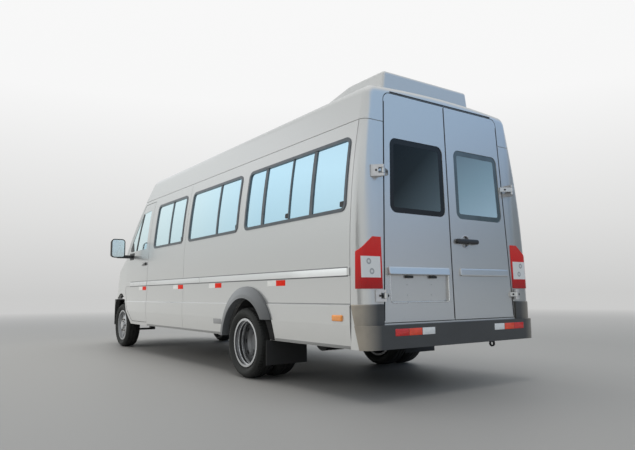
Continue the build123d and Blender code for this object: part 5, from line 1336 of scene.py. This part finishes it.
@dataclass
class RearDoors:
    """Lever, grip bars, plate recess, window bands, seals and hinge bolts of the rear doors."""

    lever_bar: Plate = Plate((-0.180, 1.146), 0.260, 0.038, 0.016)
    lever_edge: Profile = ((0.004, 0.004), (0.0, 0.008), (0.0, 0.020), (0.004, 0.026), (0.012, 0.028))
    dish: Point2 = (-0.170, 1.146)
    dish_r: float = 0.052
    dish_edge: Profile = ((0.0, -0.001), (0.0, 0.003), (0.004, 0.005), (0.009, 0.003), (0.010, -0.012))
    lip_seal: Plate = Plate((0.0, 2.2535), 1.170, 0.011, 0.004)
    lip_edge: Profile = eased(sunk=0.008, wall=0.0012, ease=0.0015, top=0.0020)
    grips: Tuple[Tuple[Side, float, float, float], ...] = (  # side, middle, width and height of each bar
        (Side.LEFT, 0.374, 0.632, 0.026), (Side.RIGHT, -0.381, 0.600, 0.011),
    )
    grip_z: float = 0.869
    grip_h: float = 0.061
    grip_gain: float = 0.35  # share by which a bar stands out further at its foot
    recess: Plate = Plate((0.354, 0.797), 0.619, 0.262, 0.030)
    recess_edge: Profile = (
        (0.0, -0.001), (0.001, 0.002), (0.004, 0.0035), (0.008, 0.003), (0.0105, 0.0), (0.0115, -0.004),
    )
    plate_lamp: Plate = Plate((0.0, 0.857), 0.066, 0.018, 0.004)
    plate_lamp_ys: Tuple[float, ...] = (0.465, 0.217)
    plate_lamp_edge: Profile = eased(sunk=0.026, wall=0.004, ease=0.002, top=0.006)
    pane_left: Point3 = (0.046, 0.6317, 0.6057)  # inner edge, outer edge at foot and top
    pane_right: Point3 = (0.086, 0.6517, 0.6257)
    pane_z: Span = (1.328, 1.897)
    pane_corner: float = 0.060
    band_w: float = 0.042
    seal_foot: Point3 = (0.7215, 0.7275, 0.545)  # the seal's two edges, and their height
    seal_head: Point3 = (0.6475, 0.6535, 2.170)
    meeting_seal: Plate = Plate((0.0065, 1.386), 0.006, 1.690, 0.001)
    seal_edge: Profile = eased(sunk=0.002, wall=0.0006, ease=0.001, top=0.0010)
    hinge_zs: Tuple[float, ...] = (0.722, 1.618)
    knuckle: Point2 = (-3.298, 0.738)  # station of the pins, and distance from the middle plane
    bracket_y: float = 0.810
    arm_in: float = 0.034  # from the door's edge in to an arm's foot
    door_edge: Point2 = (0.728, 0.533)  # the edge's distance from the middle plane, at a height
    door_lean: float = 0.078 / 1.707
    leaf_out: float = 0.012
    bolt_way: float = 0.62  # share of the way from the pin to a leaf's foot
    bolt_r: float = 0.0085
    bolt_edge: Profile = eased(sunk=0.003, wall=0.004, ease=0.0015, top=0.0055)

    def lever(self) -> None:
        """Black bar over the dished ring on the right rear door."""
        place, body = SKIN.on_rear(), "rear_door_right"
        trim("rear_lever", "black_plastic", body, [self.lever_bar.shape()], self.lever_edge, place)
        ring = [(polygon(self.dish, self.dish_r, 40), 0.002)]
        trim("lever_dish", "hinge_metal", body, ring, self.dish_edge, place, capped=False, count=2)

    def on_grip(self) -> Place:
        """Places (y, z, height) on the rear face, standing out further at a bar's foot."""
        def place(a: np.ndarray, b: np.ndarray, h: np.ndarray) -> np.ndarray:
            """Points whose height grows by the gain from the bar's top to its foot."""
            gain = 1 + self.grip_gain * (1 - (b - self.grip_z) / self.grip_h)
            return np.stack([SKIN.rear_x(b) - h * gain, a, b], axis=-1)

        return place

    def grip_bars(self) -> None:
        """Mouldings over the bars of the rear doors; their faces lean back toward the top."""
        for side, middle, width, lift in self.grips:
            plate = Plate((middle, self.grip_z + self.grip_h / 2), width, self.grip_h, 0.014)
            profile = ((0.0, -0.002), (0.0, lift * 0.55), (0.003, lift * 0.9), (0.008, lift), (0.012, lift))
            name, body = f"grip_bar_{side.tag}", f"rear_door_{side.tag}"
            trim(name, "body_paint", body, [plate.shape()], profile, self.on_grip())

    def plate_recess(self) -> None:
        """Rolled lip round the plate's recess, lighter as a painted highlight, and two dark lamp housings under the
        bar.
        """
        place, body = SKIN.on_rear(), "rear_door_left"
        trim("recess_lip", "bright_trim", body, [self.recess.shape()], self.recess_edge, place, capped=False)
        shapes = [self.plate_lamp.shape(y) for y in self.plate_lamp_ys]
        trim("plate_lamps", "black_plastic", body, shapes, self.plate_lamp_edge, place, count=4)

    def window_band(self, side: Side) -> None:
        """Printed band around a rear door's pane, just proud of the glass; on the right pane it is lightened as a
        painted reflection.

        Args:
            side: side of the van.
        """
        left = side is Side.LEFT
        inner, foot, head = self.pane_left if left else self.pane_right
        low, high = self.pane_z
        corners = side.corners([(inner, low), (foot, low), (head, high), (inner, high)])
        under, over = 0.0002 - SKIN.glass_depth, 0.0009 - SKIN.glass_depth
        profile = ((0.0005, under), (0.0005, over), (self.band_w, over), (self.band_w, under))
        name, finish = f"pane_band_{side.tag}", "frit" if left else "frit_pale"
        shapes = [(corners, self.pane_corner)]
        trim(name, finish, f"rear_door_{side.tag}", shapes, profile, SKIN.on_rear(), capped=False)

    def seals(self, side: Side) -> None:
        """Dark rubber along a rear door's outer edge, and along the meeting edge of the left one.

        Args:
            side: side of the van.
        """
        (foot_in, foot_out, foot_z), (head_in, head_out, head_z) = self.seal_foot, self.seal_head
        outer = [(foot_in, foot_z), (foot_out, foot_z), (head_out, head_z), (head_in, head_z)]
        shapes = [(side.corners(outer), 0.001)]
        if side is Side.LEFT:
            shapes.append(self.meeting_seal.shape())
        name, body = f"door_seal_{side.tag}", f"rear_door_{side.tag}"
        trim(name, "seal", body, shapes, self.seal_edge, SKIN.on_rear(), count=3)

    def on_leaf(self, side: Side, z: float, foot_y: float, out: float) -> Place:
        """Places (way along a hinge leaf's face, z, height) at the bolt.

        A face runs from the pin to its foot; a bolt lies at a share of that way,
        its outline along the face and up, its height along the face's normal.

        Args:
            side: side of the van.
            z: height of the hinge.
            foot_y: distance of the leaf's foot from the middle plane.
            out: 1 or -1, the sense of the normal.

        Returns:
            The function that places points.
        """
        knuckle = np.array(self.knuckle)
        way = np.array([SKIN.rear_x(z) - self.leaf_out, foot_y]) - knuckle
        along = way / np.linalg.norm(way)
        normal = np.array([-along[1], along[0]]) * out

        def place(a: np.ndarray, b: np.ndarray, h: np.ndarray) -> np.ndarray:
            """Points on the leaf's face."""
            spot = knuckle + way * self.bolt_way + a[..., None] * along + h[..., None] * normal
            return np.stack([spot[..., 0], side.value * spot[..., 1], b], axis=-1)

        return place

    def hinge_bolts(self, side: Side) -> None:
        """Dark bolt heads on the slanted faces of the rear hinges, one on each leaf.

        Args:
            side: side of the van.
        """
        edge_y, edge_z = self.door_edge
        arm_ys = [edge_y - self.door_lean * (z - edge_z) - self.arm_in for z in self.hinge_zs]
        leaves = (
            ("bracket", "body", [self.bracket_y] * len(self.hinge_zs), 1.0),
            ("arm", f"rear_door_{side.tag}", arm_ys, -1.0),
        )
        for leaf, body, foot_ys, out in leaves:
            for index, (z, foot_y) in enumerate(zip(self.hinge_zs, foot_ys)):
                shapes = [(polygon((0.0, z), self.bolt_r, 6), 0.001)]
                name, place = f"{leaf}_bolt_{side.tag}_{index}", self.on_leaf(side, z, foot_y, out)
                trim(name, "bolt_dark", body, shapes, self.bolt_edge, place, count=2)

    def build(self) -> None:
        """Builds every fitting of the rear doors."""
        self.lever()
        trim("roof_lip_seal", "seal", "body", [self.lip_seal.shape()], self.lip_edge, SKIN.on_rear())
        self.grip_bars()
        self.plate_recess()
        for side in Side:
            self.window_band(side)
            self.seals(side)
            self.hinge_bolts(side)


@dataclass
class FrontDoors:
    """Pull handles, quarter-light bars and mirror plates of the front doors."""

    pull: Plate = Plate((1.190, 1.148), 0.160, 0.040, 0.018)
    pull_edge: Profile = ((0.0, -0.002), (0.0, 0.010), (0.004, 0.017), (0.012, 0.019))
    bar_foot: Point2 = (1.600, 1.346)
    bar_top: Point2 = (1.474, 1.838)
    bar_w: float = 0.044
    bar_cuts: int = 7
    sail: Tuple[Point2, ...] = ((1.735, 1.347), (1.915, 1.347), (1.800, 1.475))
    mirror: Plate = Plate((0.0, 1.385), 0.190, 0.260, 0.045)
    mirror_x: float = 1.735
    mirror_y: float = 1.140
    mirror_edge: Profile = ((0.014, -0.001), (0.014, 0.001), (0.018, 0.0015))

    def quarter_bar(self, side: Side) -> None:
        """Black bar between drop glass and quarter light, and the panel at the mirror's foot.

        The bar is a row of short quads from foot to top, so that it follows the glass's arc.

        Args:
            side: side of the van.
        """
        foot, top, half = np.array(self.bar_foot), np.array(self.bar_top), self.bar_w / 2
        ends = foot + (top - foot) * np.linspace(0, 1, self.bar_cuts)[:, None]
        shapes = [
            ([(ax - half, az), (ax + half, az), (bx + half, bz), (bx - half, bz)], 0.0005)
            for (ax, az), (bx, bz) in zip(ends, ends[1:])
        ]
        shapes.append((self.sail, 0.010))
        profile = ((0.0, -SKIN.glass_depth - 0.001), (0.0, -0.001))
        name, body = f"quarter_bar_{side.tag}", f"front_door_{side.tag}"
        trim(name, "black_plastic", body, shapes, profile, SKIN.on_side(side), count=4)

    def build(self) -> None:
        """Builds the fittings of both front doors."""
        for side in Side:
            body = f"front_door_{side.tag}"
            trim(f"pull_{side.tag}", "black_plastic", body, [self.pull.shape()], self.pull_edge, SKIN.on_side(side))
            self.quarter_bar(side)
            # the mirror plate's pale colour is a painted reflection
            plate = self.mirror.shape(side.value * self.mirror_y)
            name, place = f"mirror_plate_{side.tag}", on_plane(self.mirror_x)
            trim(name, "mirror_glass", body, [plate], self.mirror_edge, place)


@dataclass
class SideTrim:
    """Rub strips, sill fold, arch rubber, step line and window catches along the sides."""

    strip_z: float = 0.8920
    strip_h: float = 0.052
    edge_h: float = 0.009
    body_runs: Tuple[Span, ...] = ((-3.133, -0.613), (-0.600, 1.042))
    door_run: Span = (1.066, 1.800)
    door_cuts: int = 6
    strip_edge: Profile = eased(sunk=0.001, wall=0.0010, ease=0.0015, top=0.0016)
    line_edge: Profile = eased(sunk=0.001, wall=0.0006, ease=0.001, top=0.0009)
    fold_runs: Tuple[Span, ...] = ((-3.150, -2.142), (-1.243, 1.040))
    fold_z: float = 0.3665
    fold_h: float = 0.021
    rubber_zs: Tuple[float, ...] = (0.357, 0.440, 0.525)
    rubber_front: Tuple[float, ...] = (-2.054, -2.0355, -1.9945)
    rubber_back: Tuple[float, ...] = (-2.137, -2.118, -2.098)
    rubber_edge: Profile = eased(sunk=0.001, wall=0.0015, ease=0.0006, top=0.0018)
    step_line: Plate = Plate((-2.587, 0.6655), 1.150, 0.006, 0.001)
    catch: Plate = Plate((0.0, 1.385), 0.044, 0.040, 0.008)
    catch_xs: Tuple[float, ...] = (-0.035, -1.396, -2.300, -3.050)

    def rub_strips(self, side: Side) -> None:
        """Strip on the side moulding, bright as a painted highlight, with a dark painted shadow line above and below
        it, one set for each panel.

        The bright strip is flat on the moulding's face, and the shadow lines lie on the panel beside it.

        Args:
            side: side of the van.
        """
        cuts = np.linspace(*self.door_run, self.door_cuts)
        gap = (self.strip_h + self.edge_h) / 2
        for body, spans in (("body", self.body_runs), (f"front_door_{side.tag}", list(zip(cuts, cuts[1:])))):
            strips = runs(spans, self.strip_z, self.strip_h)
            place = SKIN.on_side(side, self.strip_z)
            trim(f"rub_strip_{side.tag}_{body}", "strip_trim", body, strips, self.strip_edge, place, count=3)
            # the dark edges are painted shadow lines above and below the strip
            edges = [shape for shift in (gap, -gap) for shape in runs(spans, self.strip_z + shift, self.edge_h)]
            place = SKIN.on_side(side)
            trim(f"strip_edge_{side.tag}_{body}", "strip_edge", body, edges, self.strip_edge, place, count=3)

    def arch_trim(self, side: Side) -> None:
        """Painted shade on the sill's fold, rubber under the flare's rear end, and a painted shadow line along the
        step behind it.

        Args:
            side: side of the van.
        """
        place = SKIN.on_side(side)
        folds = runs(self.fold_runs, self.fold_z, self.fold_h)
        trim(f"sill_fold_{side.tag}", "sill_grey", "body", folds, self.line_edge, place, count=3)
        front, back = (list(zip(xs, self.rubber_zs)) for xs in (self.rubber_front, self.rubber_back))
        quads = [([a, b, c, d], 0.0008) for a, b, c, d in zip(back, front, front[1:], back[1:])]
        trim(f"arch_rubber_{side.tag}", "arch_rubber", "body", quads, self.rubber_edge, place, count=3)
        # painted shadow line along the step's ledge
        line = [self.step_line.shape()]
        trim(f"step_line_{side.tag}", "strip_edge", "body", line, self.line_edge, place, count=3)

    def catches(self, side: Side) -> None:
        """Small latches at the lower rear corners of the sliding panes.

        Args:
            side: side of the van.
        """
        depth = SKIN.glass_depth
        profile = ((0.0, -depth - 0.001), (0.0, 0.006 - depth), (0.003, 0.009 - depth), (0.012, 0.009 - depth))
        shapes = [self.catch.shape(x) for x in self.catch_xs]
        trim(f"catches_{side.tag}", "black_plastic", "body", shapes, profile, SKIN.on_side(side))

    def build(self) -> None:
        """Builds the trim of both sides."""
        for side in Side:
            self.rub_strips(side)
            self.arch_trim(side)
            self.catches(side)


@dataclass
class Seats:
    """Padded seats: crowned cushions and backs in the places of the plain solids."""

    width: float = 0.400
    gap: float = 0.012
    seat_z: float = 1.000
    cushion: Point2 = (0.440, 0.120)  # length and thickness
    cushion_at: Point2 = (0.228, 0.070)
    back: Point2 = (0.100, 0.520)  # thickness and height
    back_at: Point2 = (0.012, 0.375)
    back_lean: float = -0.155
    cab: Tuple[Point2, ...] = ((0.985, 0.430), (0.985, -0.150), (0.985, -0.560))
    rows: Tuple[float, ...] = (0.100, -0.660, -1.420, -2.180, -2.940)
    row_ys: Tuple[float, ...] = (0.635, 0.225, -0.635)

    @staticmethod
    def pad(size: Point3, lean: float, at: Point3, square: float = 0.42) -> np.ndarray:
        """Crowned pad: powers of sine and cosine over two angles, with pulled-in channels.

        Args:
            size: length, width and height.
            lean: shift in X for each metre of height.
            at: middle of the pad.
            square: exponent; smaller is squarer.

        Returns:
            Points (rows, columns, 3).
        """
        def power(wave: np.ndarray) -> np.ndarray:
            """A wave raised to the exponent, with its sign kept."""
            return np.sign(wave) * np.abs(wave) ** square

        channel_at, channel_w, channel_depth = size[1] * 0.30, 0.012, 0.06
        turn = np.linspace(-math.pi / 2, math.pi / 2, 15)[:, None]
        around = np.linspace(0, 2 * math.pi, 40, endpoint=False)[None, :]
        x = power(np.cos(turn)) * power(np.cos(around)) * size[0] / 2
        y = power(np.cos(turn)) * power(np.sin(around)) * size[1] / 2
        z = power(np.sin(turn)) * size[2] / 2 + 0 * around
        z *= 1 - channel_depth * np.exp(-((np.abs(y) - channel_at) / channel_w) ** 2)
        return np.stack([at[0] + x + lean * z, at[1] + y, at[2] + z], axis=-1)

    def build(self) -> None:
        """One piece with all pads, in place of the plain seat solids."""
        places = list(self.cab) + [(x, y) for x in self.rows for y in self.row_ys]
        pads = ((self.cushion, self.cushion_at, 0.0), (self.back, self.back_at, self.back_lean))
        blocks, faces, base = [], [], 0
        low, high = (np.array(corner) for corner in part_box("seats"))
        for x, y in places:
            for (length, height), (ahead, up), lean in pads:
                size, at = (length, self.width - self.gap, height), (x + ahead, y, self.seat_z + up)
                points = self.pad(size, lean, at)
                blocks.append(np.clip(points.reshape(-1, 3), low, high))
                faces += (grid_faces(*points.shape[:2], True) + base).tolist()
                base += points.shape[0] * points.shape[1]
        piece = mesh_object("seat_pads", np.concatenate(blocks), faces, 80.0)
        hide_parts("seats")
        LIBRARY.dress(piece, "seat_cloth", "body")


@dataclass(frozen=True)
class SoftLight:
    """One soft rectangular light that lights without showing in gloss."""

    name: str
    at: Point3
    aim: Point3
    size: Span
    power: float
    color: Color

    def build(self) -> None:
        """Adds the light to the scene."""
        data = bpy.data.lights.new(self.name, "AREA")
        data.shape = "RECTANGLE"
        data.size, data.size_y = self.size
        data.energy = self.power
        data.color = self.color
        lamp = bpy.data.objects.new(self.name, data)
        lamp.location = self.at
        lamp.rotation_euler = (Vector(self.aim) - Vector(self.at)).to_track_quat("-Z", "Y").to_euler()
        lamp.visible_glossy = False
        bpy.context.scene.collection.objects.link(lamp)


@dataclass
class Studio:
    """Floor, lights, surroundings and the camera of the photograph."""

    focal_px: float = 577.5
    image_w: float = 635.0
    sensor_w: float = 36.0
    eye: Point3 = (-6.3383, 3.4744, 0.7378)
    yaw: float = -35.215
    pitch: float = 6.810
    roll: float = -0.476
    floor_half: float = 80.0
    floor_cuts: int = 9
    floor_tone: Color = (0.24, 0.236, 0.228)
    floor_roughness: float = 0.6
    far: Span = (5.0, 22.0)  # distances over which the floor takes the backdrop's tone
    beside_y: Span = (0.9, 2.6)  # distances to the left over which it looks bright in gloss
    beside: float = 0.9
    horizon: Color = (0.60, 0.60, 0.595)
    bright: Color = (0.80, 0.80, 0.78)
    backdrop: Stops = (
        (0.0, (0.60, 0.60, 0.595)), (0.12, (0.74, 0.74, 0.735)), (0.32, (0.93, 0.93, 0.93)), (1.0, (0.97, 0.97, 0.97)),
    )
    sky_ahead: Stops = (
        (0.0, (0.70, 0.70, 0.68)), (0.15, (0.71, 0.74, 0.74)), (0.36, (0.96, 0.99, 1.0)),
        (0.44, (0.94, 0.96, 0.98)), (0.53, (0.68, 0.70, 0.70)), (1.0, (0.95, 0.95, 0.95)),
    )
    sky_behind: Stops = (
        (0.0, (0.50, 0.52, 0.53)), (0.12, (0.49, 0.52, 0.60)), (0.30, (0.46, 0.70, 1.0)), (1.0, (0.72, 0.80, 0.92)),
    )
    sky_right: Stops = (
        (0.0, (0.19, 0.22, 0.24)), (0.15, (0.17, 0.22, 0.26)), (0.32, (0.42, 0.63, 0.97)), (1.0, (0.72, 0.80, 0.92)),
    )
    lights: Tuple[SoftLight, ...] = (
        SoftLight("overhead", (-0.5, 1.0, 8.0), (-0.5, 0.2, 0.8), (9.0, 5.0), 430.0, (1.0, 0.99, 0.97)),
        SoftLight("left_front", (4.5, 8.5, 4.2), (0.5, 0.5, 1.0), (6.0, 4.0), 260.0, (1.0, 0.97, 0.93)),
        SoftLight("right_front", (6.5, -8.0, 4.5), (1.0, -0.5, 1.0), (6.0, 4.0), 200.0, (0.97, 0.98, 1.0)),
    )

    def camera(self) -> None:
        """Camera at the photograph's place, found by fitting known points of the van."""
        yaw, pitch, roll = (math.radians(v) for v in (self.yaw, self.pitch, self.roll))
        forward = Vector((math.cos(yaw) * math.cos(pitch), math.sin(yaw) * math.cos(pitch), math.sin(pitch)))
        right = Vector((math.sin(yaw), -math.cos(yaw), 0.0))
        up = right.cross(forward)
        rolled_right = right * math.cos(roll) + up * math.sin(roll)
        rolled_up = up * math.cos(roll) - right * math.sin(roll)
        data = bpy.data.cameras.new("photo_camera")
        data.sensor_fit = "HORIZONTAL"
        data.sensor_width = self.sensor_w
        data.lens = self.focal_px * self.sensor_w / self.image_w
        data.clip_end = 300.0
        camera = bpy.data.objects.new("photo_camera", data)
        turn = Matrix((rolled_right, rolled_up, -forward)).transposed().to_4x4()
        camera.matrix_world = Matrix.Translation(Vector(self.eye)) @ turn
        bpy.context.scene.collection.objects.link(camera)
        bpy.context.scene.camera = camera

    def floor(self) -> None:
        """Pale floor whose far part takes the backdrop's tone for the eye and for reflections."""
        span = np.linspace(-self.floor_half, self.floor_half, self.floor_cuts)
        x, y = np.meshgrid(span, span)
        verts = np.stack([x, y, np.zeros_like(x)], axis=-1)
        piece = mesh_object("studio_floor", verts, grid_faces(self.floor_cuts, self.floor_cuts, False).tolist())
        nodes = Nodes(bpy.data.materials.new("studio_floor"))
        nodes.put(self.floor_tone, nodes.shader.inputs["Base Color"])
        nodes.put(self.floor_roughness, nodes.shader.inputs["Roughness"])
        path = nodes.add("ShaderNodeLightPath").outputs
        seen = nodes.math("MAXIMUM", path["Is Camera Ray"], path["Is Glossy Ray"])
        away = nodes.vector("LENGTH", nodes.place()).outputs["Value"]
        far = nodes.times(nodes.spread(away, *self.far), seen)
        near = nodes.times(nodes.spread(nodes.axis("Y"), *self.beside_y, 0.0, self.beside), path["Is Glossy Ray"])
        glow = nodes.glow("ShaderNodeEmission", nodes.mix(path["Is Glossy Ray"], self.horizon, self.bright))
        surface = nodes.mix_shaders(nodes.math("MAXIMUM", far, near), nodes.shader.outputs[0], glow)
        nodes.link(surface, nodes.tree.nodes["Material Output"].inputs["Surface"])
        piece.data.materials.append(nodes.owner)

    @staticmethod
    def blend(nodes: Nodes, low: Socket, high: Socket, toward: Point3, span: Span) -> Socket:
        """Mix of two skies by how far the direction points toward a side."""
        facing = nodes.vector("DOT_PRODUCT", nodes.place(), toward).outputs["Value"]
        return nodes.mix(nodes.spread(facing, *span, smooth=True), low, high)

    def surroundings(self) -> None:
        """Backdrop for the eye, and for everything else a soft room: pale ahead, blue sky high behind.

        Each colour goes by the direction's height, from 0 at the horizon to 1 overhead.
        """
        world = bpy.data.worlds.new("studio")
        bpy.context.scene.world = world
        nodes = Nodes(world, "Generated")
        nodes.tree.nodes.clear()
        skies = (self.sky_ahead, self.sky_behind, self.sky_right, self.backdrop)
        ahead, behind, right, backdrop = (nodes.ramp(nodes.axis("Z"), stops) for stops in skies)
        rear = self.blend(nodes, behind, right, (0.0, -1.0, 0.0), (0.70, 0.80))
        room = self.blend(nodes, ahead, rear, (-0.8, -0.6, 0.0), (0.35, 0.85))
        glows = [nodes.glow("ShaderNodeBackground", color) for color in (room, backdrop)]
        seen = nodes.add("ShaderNodeLightPath").outputs["Is Camera Ray"]
        nodes.link(nodes.mix_shaders(seen, *glows), nodes.add("ShaderNodeOutputWorld").inputs["Surface"])

    def build(self) -> None:
        """Sets the whole stage."""
        self.camera()
        self.floor()
        self.surroundings()
        for light in self.lights:
            light.build()
        bpy.context.scene.view_settings.view_transform = "Standard"


def main() -> None:
    """Dresses the van and sets the stage."""
    logging.basicConfig(level=logging.INFO, format="%(name)s: %(message)s")
    wheels = [make(side) for side in Side for make in (WheelSet.front, WheelSet.rear)]
    for part in (Studio(), Shell(), *wheels, Markers(), RearDoors(), FrontDoors(), SideTrim(), Seats()):
        part.build()


if __name__ == "__main__":
    main()
